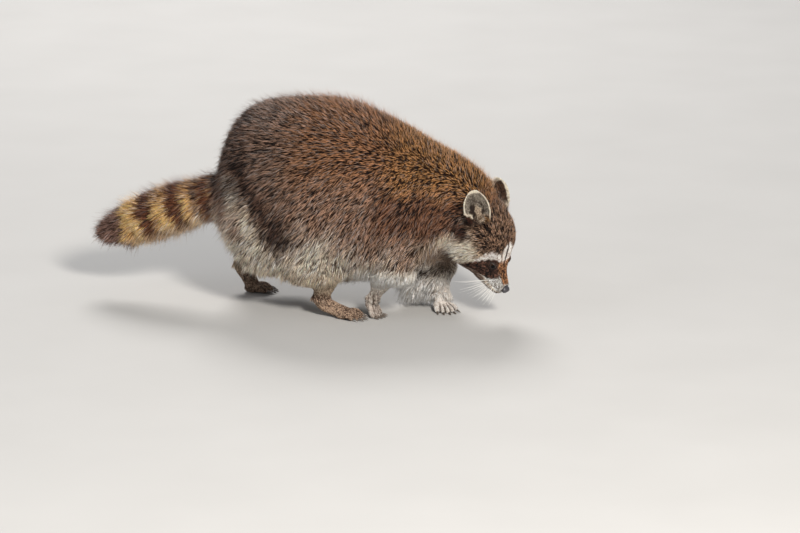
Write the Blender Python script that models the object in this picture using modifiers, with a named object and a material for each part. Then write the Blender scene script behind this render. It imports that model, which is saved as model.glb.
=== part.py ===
"""A life-size raccoon in its winter coat, walking with its head down to the ground.

Metres, +Z up, +X towards the head, +Y to the animal's left. The solids reach out to the tips of the
coat. The flesh is modelled whole from lofts, tubes and round masses, and then parted with thin cuts
into head, neck, trunk, tail and legs. The feet, ears, eyes, nose and claws are made on their own.
"""

import math

import bmesh
import bpy
from mathutils import Matrix, Vector

GAP = 0.0003  # clearance between pieces that touch
CUT = 0.0004  # clearance left by the cuts that part the flesh
BODY_VOXEL = 0.0034
BODY_FACETS = 3300
FOOT_VOXEL = 0.0012
FOOT_FACETS = 400

# ---- the trunk: place along X, height of back, height of belly, half width, sideways place ----
TRUNK = [
    (-0.181, 0.220, 0.172, 0.022, 0.000),
    (-0.175, 0.249, 0.132, 0.047, 0.000),
    (-0.162, 0.284, 0.100, 0.070, 0.000),
    (-0.140, 0.315, 0.084, 0.089, 0.000),
    (-0.110, 0.333, 0.072, 0.104, 0.000),
    (-0.065, 0.343, 0.060, 0.115, 0.000),
    (-0.005, 0.346, 0.050, 0.120, 0.000),
    (0.040, 0.340, 0.049, 0.116, 0.000),
    (0.085, 0.325, 0.056, 0.107, -0.001),
    (0.125, 0.308, 0.070, 0.096, -0.003),
    (0.165, 0.289, 0.084, 0.086, -0.007),
    (0.200, 0.273, 0.090, 0.078, -0.012),
    (0.230, 0.258, 0.102, 0.071, -0.018),
    (0.256, 0.240, 0.122, 0.058, -0.022),
    (0.272, 0.222, 0.148, 0.036, -0.024),
]
WIDEST_LEVEL = 0.43  # share of the trunk's height at which it is widest
TRUNK_ROUND = 2.15  # exponent of the section's superellipse

# ---- the head: its own frame has its origin at the nose, +X forwards, +Y left, +Z up from the brow ----
NOSE_AT = Vector((0.292, -0.035, 0.053))
HEAD_YAW = math.radians(-16)
HEAD_PITCH = math.radians(64)
HEAD_ROLL = math.radians(3)
HEAD = (
    Matrix.Translation(NOSE_AT)
    @ Matrix.Rotation(HEAD_YAW, 4, "Z")
    @ Matrix.Rotation(HEAD_PITCH, 4, "Y")
    @ Matrix.Rotation(HEAD_ROLL, 4, "X")
)
# place along the muzzle, height of the top line, depth of the jaw line, half width, widest height
SKULL = [
    (0.0030, 0.0005, -0.0150, 0.0070, -0.006),
    (0.0010, 0.0040, -0.0200, 0.0125, -0.008),
    (-0.0050, 0.0065, -0.0235, 0.0160, -0.009),
    (-0.0160, 0.0080, -0.0280, 0.0200, -0.010),
    (-0.0290, 0.0125, -0.0330, 0.0240, -0.010),
    (-0.0400, 0.0205, -0.0375, 0.0310, -0.009),
    (-0.0520, 0.0320, -0.0430, 0.0420, -0.010),
    (-0.0660, 0.0430, -0.0480, 0.0575, -0.016),
    (-0.0830, 0.0500, -0.0520, 0.0655, -0.018),
    (-0.1020, 0.0520, -0.0530, 0.0665, -0.015),
    (-0.1210, 0.0500, -0.0510, 0.0610, -0.010),
    (-0.1400, 0.0430, -0.0450, 0.0500, -0.002),
    (-0.1520, 0.0330, -0.0330, 0.0300, 0.000),
]
SKULL_ROUND = 2.1

EYE = Vector((-0.0440, 0.0215, 0.0088))  # of the left eye; the right one mirrors it
EYE_RADIUS = 0.0072
EYE_OUTWARD = Vector((0.60, 0.72, 0.36)).normalized()
EYE_DISH = 0.0098  # radius of the bare dish round an eye
EYE_DISH_REACH = 0.0085
NOSE_SIZE = Vector((0.0078, 0.0092, 0.0070))
NOSE_CENTRE = Vector((0.0010, 0.0, -0.0010))

EAR_LENGTH = 0.060
EAR_HALF_WIDTH = 0.0205
EAR_CUP = 0.0105
EAR_WALL = 0.0034
# base, the way from base to tip, and the way the cup opens; the right ear is turned out further
EARS = {
    "left": (Vector((-0.110, 0.036, 0.018)), Vector((-0.92, 0.08, 0.36)), Vector((0.08, 0.84, 0.52))),
    "right": (Vector((-0.109, -0.048, 0.033)), Vector((-0.88, -0.26, 0.38)), Vector((0.02, -0.84, 0.52))),
}

# ---- the tail: points along its middle, with the coat's radius ----
TAIL = [
    (-0.140, 0.000, 0.190, 0.036),
    (-0.180, 0.001, 0.174, 0.042),
    (-0.225, 0.003, 0.160, 0.045),
    (-0.270, 0.006, 0.143, 0.046),
    (-0.315, 0.010, 0.124, 0.043),
    (-0.350, 0.014, 0.110, 0.036),
    (-0.378, 0.017, 0.099, 0.025),
    (-0.396, 0.019, 0.091, 0.009),
]

# ---- round masses of muscle and long coat: centre, radii, turn about Y and Z in degrees ----
MASSES = [
    ((-0.085, -0.072, 0.150), (0.070, 0.046, 0.085), -20, 0),  # right thigh, drawn forward
    ((-0.014, -0.080, 0.100), (0.060, 0.036, 0.048), 18, 0),  # right knee
    ((-0.110, 0.066, 0.140), (0.064, 0.046, 0.085), 16, 0),  # left thigh, drawn back
    ((-0.122, 0.062, 0.088), (0.044, 0.036, 0.042), 40, 0),  # left knee and shank
    ((0.150, -0.058, 0.165), (0.052, 0.040, 0.082), -14, 0),  # right shoulder
    ((0.118, -0.064, 0.098), (0.036, 0.030, 0.046), -28, 0),  # right elbow
    ((0.156, 0.048, 0.160), (0.052, 0.036, 0.080), 0, 0),  # left shoulder
    ((0.160, 0.036, 0.080), (0.041, 0.028, 0.048), 0, 0),  # long coat of the left forearm
    ((0.148, 0.030, 0.042), (0.026, 0.020, 0.036), -38, 0),  # its hanging fringe
]

# ---- limbs: points down the middle of each, with the coat's radius ----
LIMBS = {
    "hind_leg_right": [
        (-0.080, -0.055, 0.185, 0.050),
        (0.006, -0.078, 0.112, 0.036),
        (0.008, -0.072, 0.068, 0.0240),
        (0.004, -0.067, 0.042, 0.0165),
        (0.001, -0.066, 0.022, 0.0140),
    ],
    "hind_leg_left": [
        (-0.090, 0.050, 0.185, 0.050),
        (-0.075, 0.074, 0.112, 0.042),
        (-0.128, 0.070, 0.084, 0.029),
        (-0.157, 0.066, 0.062, 0.0180),
        (-0.160, 0.065, 0.046, 0.0145),
    ],
    "foreleg_right": [
        (0.160, -0.055, 0.195, 0.045),
        (0.124, -0.064, 0.116, 0.032),
        (0.104, -0.058, 0.072, 0.0215),
        (0.088, -0.052, 0.042, 0.0130),
        (0.082, -0.050, 0.022, 0.0115),
    ],
    "foreleg_left": [
        (0.155, 0.042, 0.190, 0.040),
        (0.158, 0.044, 0.112, 0.037),
        (0.170, 0.034, 0.070, 0.0290),
        (0.175, 0.028, 0.040, 0.0180),
        (0.177, 0.025, 0.022, 0.0140),
    ],
}

# ---- feet: ball of the foot on the floor, heading in degrees, and the shank up to the leg ----
# pitch 0 lays the digits flat on the floor, and 90 stands them upright on their tips
FEET = {
    "hind_foot_right": {
        "leg": "hind_leg_right",
        "ball": (0.038, -0.070, 0.0085),
        "heading": -12,
        "pitch": 0,
        "palm": (0.0165, 0.0155, 0.0100),
        "digit": (0.0270, 0.0054),
        "spread": 13,
        "shank": [
            (0.038, -0.070, 0.0095, 0.0105),
            (0.018, -0.067, 0.0160, 0.0112),
            (0.002, -0.065, 0.0250, 0.0122),
            (0.000, -0.065, 0.0340, 0.0140),
            (0.004, -0.067, 0.0480, 0.0180),
        ],
        "ankle": (0.0015, -0.0655, 0.0360),
    },
    "hind_foot_left": {
        "leg": "hind_leg_left",
        "ball": (-0.141, 0.064, 0.0085),
        "heading": 4,
        "pitch": 0,
        "palm": (0.0160, 0.0155, 0.0100),
        "digit": (0.0265, 0.0054),
        "spread": 13,
        "shank": [
            (-0.142, 0.064, 0.0110, 0.0112),
            (-0.151, 0.064, 0.0270, 0.0118),
            (-0.160, 0.065, 0.0450, 0.0138),
            (-0.157, 0.066, 0.0620, 0.0180),
        ],
        "ankle": (-0.1590, 0.0650, 0.0480),
    },
    "forepaw_right": {
        "leg": "foreleg_right",
        "ball": (0.0790, -0.050, 0.0200),
        "heading": -14,
        "pitch": 66,
        "palm": (0.0140, 0.0140, 0.0080),
        "digit": (0.0230, 0.0046),
        "spread": 15,
        "shank": [
            (0.0790, -0.050, 0.0220, 0.0102),
            (0.0830, -0.051, 0.0330, 0.0110),
            (0.0890, -0.052, 0.0440, 0.0130),
        ],
        "ankle": (0.0850, -0.0510, 0.0360),
    },
    "forepaw_left": {
        "leg": "foreleg_left",
        "ball": (0.1810, 0.013, 0.0080),
        "heading": -58,
        "pitch": 6,
        "palm": (0.0150, 0.0150, 0.0090),
        "digit": (0.0240, 0.0050),
        "spread": 15,
        "shank": [
            (0.1805, 0.015, 0.0100, 0.0118),
            (0.1785, 0.022, 0.0160, 0.0128),
            (0.1765, 0.025, 0.0280, 0.0146),
            (0.1750, 0.028, 0.0400, 0.0180),
        ],
        "ankle": (0.1767, 0.0250, 0.0280),
    },
}
DIGITS = 5
FLOOR_DEPTH = 0.040  # of the block that trims the soles flat
# bones of a digit: share of its length, how far it bends to 45 degrees down, share of its radius
BONES = [(0.42, 0.04, 1.00), (0.34, 0.36, 0.96), (0.24, 0.62, 0.62)]
CLAW_LENGTH = 0.0088
CLAW_CLEARANCE = 0.0019
CLAW_FLOOR = 0.0007  # height of the claws' undersides above the floor
CLAW_RADIUS = 0.0016

# ---- the block of space that each piece of flesh is taken from, in the order they are taken ----
# middle of its inner face, the way it faces, height and length of that face, depth of the block
REGIONS = {
    "tail": ((-0.190, 0.001, 0.170), (-0.94, 0.02, -0.33), (0.104, 0.108), 0.260),
    "hind_leg_right": ((-0.044, -0.070, 0.112), (0.16, -0.62, -0.75), (0.155, 0.185), 0.160),
    "hind_leg_left": ((-0.104, 0.070, 0.110), (-0.18, 0.62, -0.76), (0.160, 0.150), 0.160),
    "foreleg_right": ((0.112, -0.066, 0.108), (-0.06, -0.64, -0.75), (0.150, 0.110), 0.150),
    "foreleg_left": ((0.150, 0.060, 0.108), (0.05, 0.62, -0.78), (0.150, 0.112), 0.150),
    "head": ((0.236, -0.020, 0.172), (0.58, -0.16, -0.80), (0.260, 0.240), 0.260),
    "neck": ((0.172, -0.010, 0.190), (0.93, -0.10, 0.30), (0.300, 0.300), 0.200),
}

# ---- finishes: colour, roughness ----
FUR_BROWN = ((0.16, 0.095, 0.060, 1), 0.75)
FUR_TAIL = ((0.33, 0.19, 0.095, 1), 0.75)
FUR_FACE = ((0.26, 0.19, 0.145, 1), 0.75)
FUR_PALE = ((0.42, 0.34, 0.270, 1), 0.75)
PAW_SKIN = ((0.50, 0.42, 0.350, 1), 0.65)
NOSE_SKIN = ((0.03, 0.03, 0.036, 1), 0.35)
EYE_DARK = ((0.012, 0.009, 0.008, 1), 0.08)
CLAW_HORN = ((0.10, 0.08, 0.065, 1), 0.40)


def clear_scene():
    for obj in list(bpy.data.objects):
        bpy.data.objects.remove(obj)


def collection(name, shown=True):
    made = bpy.data.collections.new(name)
    made.hide_render = not shown
    bpy.context.scene.collection.children.link(made)
    return made


def material(name, finish):
    colour, roughness = finish
    made = bpy.data.materials.new(name)
    made.use_nodes = True
    shader = made.node_tree.nodes["Principled BSDF"]
    shader.inputs["Base Color"].default_value = colour
    shader.inputs["Roughness"].default_value = roughness
    made.diffuse_color = colour
    return made


def add_mesh(name, mesh, home):
    obj = bpy.data.objects.new(name, mesh)
    home.objects.link(obj)
    return obj


def evaluated_copy(obj, name, home):
    """A new plain mesh object with obj's modifiers and placing applied."""
    bpy.context.view_layer.update()
    graph = bpy.context.evaluated_depsgraph_get()
    mesh = bpy.data.meshes.new_from_object(obj.evaluated_get(graph))
    mesh.transform(obj.matrix_world)
    mesh.name = name
    return add_mesh(name, mesh, home)


def bmesh_to(mesh, edit):
    """Runs edit on the mesh's bmesh and writes it back."""
    bm = bmesh.new()
    bm.from_mesh(mesh)
    edit(bm)
    bm.to_mesh(mesh)
    bm.free()


def smooth_rows(rows, steps):
    """Rows of numbers with steps Catmull-Rom rows put in for each one given."""
    points = [Vector(row) for row in rows]
    fine = []
    for i in range(len(points) - 1):
        a = points[max(i - 1, 0)]
        b, c = points[i], points[i + 1]
        d = points[min(i + 2, len(points) - 1)]
        for k in range(steps):
            t = k / steps
            fine.append(
                0.5 * (2 * b + (c - a) * t + (2 * a - 5 * b + 4 * c - d) * t**2)
                + 0.5 * (3 * b - a - 3 * c + d) * t**3
            )
    fine.append(points[-1])
    return fine


def superellipse(angle, exponent):
    """Unit section point at an angle, squarer as the exponent grows past 2."""
    c, s = math.cos(angle), math.sin(angle)
    across = math.copysign(abs(c) ** (2 / exponent), c)
    up = math.copysign(abs(s) ** (2 / exponent), s)
    return across, up


def loft(name, rings, home):
    """A closed skin through rings of points, with a pole at each end."""
    bm = bmesh.new()
    rows = [[bm.verts.new(p) for p in ring] for ring in rings]
    count = len(rows[0])
    for row, following in zip(rows, rows[1:]):
        for i in range(count):
            j = (i + 1) % count
            bm.faces.new((row[i], row[j], following[j], following[i]))
    for row in (rows[0], rows[-1]):
        pole = bm.verts.new(sum((v.co for v in row), Vector()) / count)
        for i in range(count):
            bm.faces.new((row[i], row[(i + 1) % count], pole))
    bmesh.ops.recalc_face_normals(bm, faces=bm.faces[:])
    mesh = bpy.data.meshes.new(name)
    bm.to_mesh(mesh)
    bm.free()
    return add_mesh(name, mesh, home)


def trunk_rings(sides=40):
    rings = []
    for x, back, belly, half_width, sideways in smooth_rows(TRUNK, 4):
        level = belly + WIDEST_LEVEL * (back - belly)
        ring = []
        for i in range(sides):
            across, up = superellipse(2 * math.pi * i / sides, TRUNK_ROUND)
            height = (back - level) if up > 0 else (level - belly)
            ring.append((x, sideways + half_width * across, level + height * up))
        rings.append(ring)
    return rings


def head_rings(sides=36):
    rings = []
    for x, top, jaw, half_width, level in smooth_rows(SKULL, 4):
        ring = []
        for i in range(sides):
            across, up = superellipse(2 * math.pi * i / sides, SKULL_ROUND)
            height = (top - level) if up > 0 else (level - jaw)
            ring.append(HEAD @ Vector((x, half_width * across, level + height * up)))
        rings.append(ring)
    return rings


def tube(name, points, home, sides=4, resolution=6):
    """A round tube through (x, y, z, radius) points, closed at both ends, as a mesh."""
    curve = bpy.data.curves.new(name, "CURVE")
    curve.dimensions = "3D"
    curve.bevel_depth = 1.0
    curve.bevel_resolution = sides
    curve.resolution_u = resolution
    curve.use_fill_caps = True
    spline = curve.splines.new("BEZIER")
    spline.bezier_points.add(len(points) - 1)
    for knot, (x, y, z, radius) in zip(spline.bezier_points, points):
        knot.co = (x, y, z)
        knot.radius = radius
        knot.handle_left_type = knot.handle_right_type = "AUTO"
    guide = bpy.data.objects.new(name + "_line", curve)
    home.objects.link(guide)
    made = evaluated_copy(guide, name, home)
    bpy.data.objects.remove(guide)
    bmesh_to(made.data, close_caps)
    return made


def close_caps(bm):
    bmesh.ops.remove_doubles(bm, verts=bm.verts[:], dist=0.00001)
    bmesh.ops.recalc_face_normals(bm, faces=bm.faces[:])


def ball(name, centre, radii, turn, home, segments=24, rows=16):
    """An ellipsoid with its own radii, turned by turn (a 4x4 matrix) about its centre."""
    bm = bmesh.new()
    placing = Matrix.Translation(centre) @ turn @ Matrix.Diagonal((*radii, 1.0))
    bmesh.ops.create_uvsphere(
        bm, u_segments=segments, v_segments=rows, radius=1.0, matrix=placing
    )
    mesh = bpy.data.meshes.new(name)
    bm.to_mesh(mesh)
    bm.free()
    return add_mesh(name, mesh, home)


def box(name, centre, facing, size, home):
    """A box centred on a point, its local Z along facing, with sides size (across, along, deep)."""
    turn = Vector(facing).to_track_quat("Z", "X").to_matrix().to_4x4()
    bm = bmesh.new()
    placing = Matrix.Translation(centre) @ turn @ Matrix.Diagonal((*size, 1.0))
    bmesh.ops.create_cube(bm, size=1.0, matrix=placing)
    mesh = bpy.data.meshes.new(name)
    bm.to_mesh(mesh)
    bm.free()
    return add_mesh(name, mesh, home)


def joined(name, pieces, home):
    """One mesh holding all the pieces, which are removed."""
    bm = bmesh.new()
    for piece in pieces:
        bm.from_mesh(piece.data)
        bpy.data.objects.remove(piece)
    mesh = bpy.data.meshes.new(name)
    bm.to_mesh(mesh)
    bm.free()
    return add_mesh(name, mesh, home)


def fused(obj, name, voxel, smoothing, facets, home):
    """The overlapping shapes in obj made one smooth closed surface of about so many facets."""
    remesh = obj.modifiers.new("fuse", "REMESH")
    remesh.mode = "VOXEL"
    remesh.voxel_size = voxel
    soften = obj.modifiers.new("soften", "SMOOTH")
    soften.factor = 0.5
    soften.iterations = smoothing
    fine = evaluated_copy(obj, name + "_fine", home)
    bpy.data.objects.remove(obj)
    fine.data.calc_loop_triangles()
    facet = fine.modifiers.new("facet", "DECIMATE")
    facet.ratio = facets / len(fine.data.loop_triangles)
    made = evaluated_copy(fine, name, home)
    bpy.data.objects.remove(fine)
    return made


def cut(obj, cutters, operation="DIFFERENCE"):
    """Cuts obj with each cutter in turn and bakes the result into its mesh."""
    for cutter in cutters:
        boolean = obj.modifiers.new("cut", "BOOLEAN")
        boolean.operation = operation
        boolean.object = cutter
    bpy.context.view_layer.update()
    graph = bpy.context.evaluated_depsgraph_get()
    mesh = bpy.data.meshes.new_from_object(obj.evaluated_get(graph))
    obj.modifiers.clear()
    obj.data = mesh


def loose_pieces(obj, home):
    """Each separate closed body of obj as its own object."""
    bm = bmesh.new()
    bm.from_mesh(obj.data)
    bm.verts.ensure_lookup_table()
    unseen = set(bm.verts)
    pieces = []
    while unseen:
        front = [unseen.pop()]
        island = set(front)
        while front:
            vert = front.pop()
            for edge in vert.link_edges:
                other = edge.other_vert(vert)
                if other in unseen:
                    unseen.discard(other)
                    island.add(other)
                    front.append(other)
        pieces.append(island)
    made = []
    for number, island in enumerate(sorted(pieces, key=len, reverse=True)):
        part = bmesh.new()
        twin = {v: part.verts.new(v.co) for v in island}
        for face in {f for v in island for f in v.link_faces}:
            part.faces.new([twin[v] for v in face.verts])
        mesh = bpy.data.meshes.new(f"loose_{number}")
        part.to_mesh(mesh)
        part.free()
        made.append(add_mesh(f"loose_{number}", mesh, home))
    bm.free()
    bpy.data.objects.remove(obj)
    return made


def mirrored(v):
    return Vector((v.x, -v.y, v.z))


def both_sides(point):
    """The left and the right place of a point that is given for the left."""
    return {"left": point, "right": mirrored(point)}


def make_flesh(helpers):
    """Trunk, neck, head, tail and legs as one surface."""
    shapes = [
        loft("trunk_shape", trunk_rings(), helpers),
        loft("head_shape", head_rings(), helpers),
        tube("tail_shape", TAIL, helpers, sides=8),
    ]
    for name, points in LIMBS.items():
        shapes.append(tube(name + "_shape", points, helpers, sides=6))
    for number, (centre, radii, about_y, about_z) in enumerate(MASSES):
        turn = Matrix.Rotation(math.radians(about_z), 4, "Z")
        turn = turn @ Matrix.Rotation(math.radians(about_y), 4, "Y")
        shapes.append(ball(f"mass_{number}", centre, radii, turn, helpers))
    whole = joined("flesh_shapes", shapes, helpers)
    return fused(whole, "flesh", BODY_VOXEL, 14, BODY_FACETS, helpers)


def ankle_plane(foot):
    """Middle and downward direction of the plane in which a leg meets its foot."""
    points = LIMBS[foot["leg"]]
    down = (Vector(points[-1][:3]) - Vector(points[-2][:3])).normalized()
    return Vector(foot["ankle"]), down


def ankle_radius(foot):
    """Radius of the shank where it passes the ankle plane."""
    ankle = Vector(foot["ankle"])
    nearest = min(foot["shank"], key=lambda point: (Vector(point[:3]) - ankle).length)
    return nearest[3]


def hollow_flesh(flesh, helpers):
    """Takes away from the flesh what the feet, the eyes and the nose fill."""
    cutters = []
    stub = 0.070
    for name, foot in FEET.items():
        ankle, down = ankle_plane(foot)
        centre = ankle + down * stub / 2
        side = 2 * ankle_radius(foot) + 0.006
        cutters.append(box(name + "_room", centre, down, (side, side, stub), helpers))
    for side, place in both_sides(EYE).items():
        outward = EYE_OUTWARD if side == "left" else mirrored(EYE_OUTWARD)
        socket = HEAD @ place
        dish = HEAD @ (place + outward * EYE_DISH_REACH)
        still = Matrix.Identity(4)
        radius = EYE_RADIUS + GAP
        cutters.append(ball(f"socket_{side}", socket, (radius,) * 3, still, helpers, 12, 8))
        cutters.append(ball(f"dish_{side}", dish, (EYE_DISH,) * 3, still, helpers, 12, 8))
    room = NOSE_SIZE + Vector((GAP, GAP, GAP))
    cutters.append(ball("nose_room", HEAD @ NOSE_CENTRE, room, HEAD_TURN, helpers, 12, 8))
    cut(flesh, cutters)
    for cutter in cutters:
        bpy.data.objects.remove(cutter)


def region(name, grow, helpers):
    """The block of space named, its sides and inner face moved out by grow."""
    inner, facing, (height, length), depth = REGIONS[name]
    facing = Vector(facing).normalized()
    centre = Vector(inner) + facing * (depth - grow) / 2
    size = (height + 2 * grow, length + 2 * grow, depth + grow)
    return box(name + "_region", centre, facing, size, helpers)


def part_flesh(flesh, helpers, home):
    """Gives each region's share of the flesh to the piece named for it, and the rest to the trunk."""
    for name in REGIONS:
        piece = add_mesh(name, flesh.data.copy(), home)
        inside = region(name, 0, helpers)
        outside = region(name, CUT, helpers)
        cut(piece, [inside], "INTERSECT")
        cut(flesh, [outside])
        keep_largest(piece)
        bpy.data.objects.remove(inside)
        bpy.data.objects.remove(outside)
    trunk = add_mesh("trunk", flesh.data.copy(), home)
    keep_largest(trunk)
    bpy.data.objects.remove(flesh)


HEAD_TURN = HEAD.to_3x3().to_4x4()


def digit_lines(foot):
    """For each digit, the points down its middle with radii, and the direction of its claw."""
    length, radius = foot["digit"]
    deep, half_width, _ = foot["palm"]
    heading = Matrix.Rotation(math.radians(foot["heading"]), 3, "Z")
    lines = []
    for i in range(DIGITS):
        side = (i - (DIGITS - 1) / 2) / ((DIGITS - 1) / 2)  # -1 to 1 across the foot
        reach = length * (1 - 0.30 * abs(side) ** 1.6)
        turn = Matrix.Rotation(math.radians(foot["spread"]) * side, 3, "Z")
        root = Vector((deep * 0.35, half_width * 0.80 * side, 0.0010))
        place = Vector(foot["ball"]) + heading @ (pitched(foot["pitch"]) @ root)
        line = [(*place, radius * 1.06)]
        for share, bend, width in BONES:
            pitch = foot["pitch"] * (1 - bend) + 90 * bend * 0.5
            ahead = heading @ turn @ (pitched(pitch) @ Vector((1, 0, 0)))
            place = place + ahead * reach * share
            line.append((*place, radius * width))
        lines.append((line, heading @ turn @ Vector((0.93, 0, -0.37))))
    return lines


def pitched(degrees):
    """Turn that lowers what points forwards by so many degrees."""
    return Matrix.Rotation(math.radians(degrees), 3, "Y")


def make_foot(name, foot, helpers, home):
    """Palm, digits and shank of a foot in one piece, trimmed flat on the floor and at the ankle."""
    heading = Matrix.Rotation(math.radians(foot["heading"]), 4, "Z")
    turn = heading @ Matrix.Rotation(math.radians(foot["pitch"]), 4, "Y")
    shapes = [ball(name + "_palm", foot["ball"], foot["palm"], turn, helpers)]
    shapes.append(tube(name + "_shank", foot["shank"], helpers, sides=6))
    for number, (line, _) in enumerate(digit_lines(foot)):
        shapes.append(tube(f"{name}_digit_{number}", line, helpers, sides=4, resolution=4))
    whole = joined(name + "_shapes", shapes, helpers)
    made = fused(whole, name, FOOT_VOXEL, 3, FOOT_FACETS, home)
    ankle, down = ankle_plane(foot)
    above = box(name + "_above", ankle - down * (0.030 - GAP), down, (0.09, 0.09, 0.060), helpers)
    under = Vector((foot["ball"][0], foot["ball"][1], -FLOOR_DEPTH / 2))
    below = box(name + "_below", under, (0, 0, 1), (0.20, 0.20, FLOOR_DEPTH), helpers)
    cut(made, [above, below])
    bpy.data.objects.remove(above)
    bpy.data.objects.remove(below)
    return made


def make_claws(name, foot, home):
    """A curved claw just ahead of each digit, point down and clear of the floor."""
    for number, (line, ahead) in enumerate(digit_lines(foot)):
        level = Vector((ahead.x, ahead.y, 0)).normalized()
        start = Vector(line[-1][:3]) + level * CLAW_CLEARANCE
        start.z = max(start.z, CLAW_RADIUS + CLAW_FLOOR)
        middle = start + level * CLAW_LENGTH * 0.50
        end = start + level * CLAW_LENGTH
        middle.z = max(start.z - CLAW_LENGTH * 0.06, CLAW_RADIUS * 0.8 + CLAW_FLOOR)
        end.z = max(start.z - CLAW_LENGTH * 0.34, CLAW_RADIUS * 0.2 + CLAW_FLOOR)
        points = [
            (*start, CLAW_RADIUS),
            (*middle, CLAW_RADIUS * 0.78),
            (*end, CLAW_RADIUS * 0.16),
        ]
        tube(f"claw_{name}_{number + 1}", points, home, sides=1, resolution=2)


def ear_shell(name, side, home):
    """A cupped shell, rounded at its tip and drawn in at its base, with a wall of even thickness."""
    base, along, facing = EARS[side]
    along = along.normalized()
    across = along.cross(facing).normalized()
    facing = across.cross(along).normalized()
    rows, columns = 7, 7
    bm = bmesh.new()
    grid = []
    for i in range(rows + 1):
        t = 1 - (1 - i / rows) ** 1.7  # rows close up towards the round tip
        width = EAR_HALF_WIDTH * ear_width(t)
        row = []
        for j in range(columns + 1):
            s = 2 * j / columns - 1
            bend = s * 1.15  # the sides curl towards the opening
            sideways = across * width * math.sin(bend) / math.sin(1.15)
            depth = EAR_CUP * ear_width(t) * (1 - math.cos(bend)) / (1 - math.cos(1.15))
            place = base + along * EAR_LENGTH * t + sideways + facing * depth
            row.append(bm.verts.new(HEAD @ place))
        grid.append(row)
    for row, following in zip(grid, grid[1:]):
        for j in range(columns):
            bm.faces.new((row[j], row[j + 1], following[j + 1], following[j]))
    bmesh.ops.recalc_face_normals(bm, faces=bm.faces[:])
    mesh = bpy.data.meshes.new(name)
    bm.to_mesh(mesh)
    bm.free()
    ear = add_mesh(name, mesh, home)
    wall = ear.modifiers.new("wall", "SOLIDIFY")
    wall.thickness = EAR_WALL
    wall.offset = 0
    return ear


def ear_width(t):
    """Half width of the ear as a share of its widest, from the base at 0 to the round tip at 1."""
    widest = 0.48
    if t < widest:
        return 0.62 + 0.38 * math.sin(math.pi / 2 * t / widest)
    return max(0.14, math.sqrt(max(0.0, 1 - ((t - widest) / (1 - widest)) ** 2.3)))


def fit_ears(flesh, helpers, home):
    """Ears trimmed to the surface of the whole flesh, clear of it by the gap."""
    grown = add_mesh("flesh_grown", flesh.data.copy(), helpers)
    swell = grown.modifiers.new("swell", "DISPLACE")
    swell.mid_level = 0
    swell.strength = GAP * 1.6
    for side in EARS:
        ear = ear_shell(f"ear_{side}", side, home)
        cut(ear, [grown])
        keep_largest(ear)
    bpy.data.objects.remove(grown)


def keep_largest(obj):
    """Drops the crumbs that a cut leaves beside the main body."""
    home = obj.users_collection[0]
    name = obj.name
    pieces = loose_pieces(obj, home)
    for crumb in pieces[1:]:
        bpy.data.objects.remove(crumb)
    pieces[0].name = name


def make_eyes_and_nose(home):
    still = Matrix.Identity(4)
    for side, place in both_sides(EYE).items():
        ball(f"eye_{side}", HEAD @ place, (EYE_RADIUS,) * 3, still, home, 12, 8)
    ball("nose", HEAD @ NOSE_CENTRE, NOSE_SIZE, HEAD_TURN, home, 12, 8)


def stand_on_origin(home):
    """Moves everything so that the middle of the underside of its box is the origin."""
    bpy.context.view_layer.update()
    corners = [obj.matrix_world @ v.co for obj in home.objects for v in obj.data.vertices]
    low = Vector([min(c[k] for c in corners) for k in range(3)])
    high = Vector([max(c[k] for c in corners) for k in range(3)])
    shift = Matrix.Translation((-(low.x + high.x) / 2, -(low.y + high.y) / 2, -low.z))
    for obj in home.objects:
        obj.data.transform(shift)


def finish_of(name):
    if name.startswith("claw"):
        return "claw_horn", CLAW_HORN
    if name.startswith("eye"):
        return "eye", EYE_DARK
    if name == "nose":
        return "nose_skin", NOSE_SKIN
    if name == "tail":
        return "tail_fur", FUR_TAIL
    if name in ("head", "ear_left", "ear_right"):
        return "face_fur", FUR_FACE
    if "paw" in name or "foot" in name:
        return "paw_skin", PAW_SKIN
    if "leg" in name:
        return "pale_fur", FUR_PALE
    return "brown_fur", FUR_BROWN


def main():
    clear_scene()
    home = collection("raccoon")
    helpers = collection("helpers", shown=False)
    flesh = make_flesh(helpers)
    hollow_flesh(flesh, helpers)
    fit_ears(flesh, helpers, home)
    part_flesh(flesh, helpers, home)
    make_eyes_and_nose(home)
    for name, foot in FEET.items():
        make_foot(name, foot, helpers, home)
        make_claws(name, foot, home)
    stand_on_origin(home)
    finishes = {}
    for obj in home.objects:
        name, finish = finish_of(obj.name)
        if name not in finishes:
            finishes[name] = material(name, finish)
        obj.data.materials.clear()
        obj.data.materials.append(finishes[name])
        obj.data.shade_smooth()
        obj.data.set_sharp_from_angle(angle=math.radians(40))


main()
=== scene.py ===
"""A raccoon at life size, standing with its head low over its forepaws, in its full coat.

One closed skin is made from all the flesh of the frame and drawn in by the depth of the coat.
The coat is laid over it tuft by tuft. Skin and coat take their markings, and the light and shade painted
into them, from the same functions of place, so they agree wherever the skin shows between the hairs.
"""

import math

import bmesh
import bpy
import numpy as np
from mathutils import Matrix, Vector
from mathutils.bvhtree import BVHTree


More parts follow.
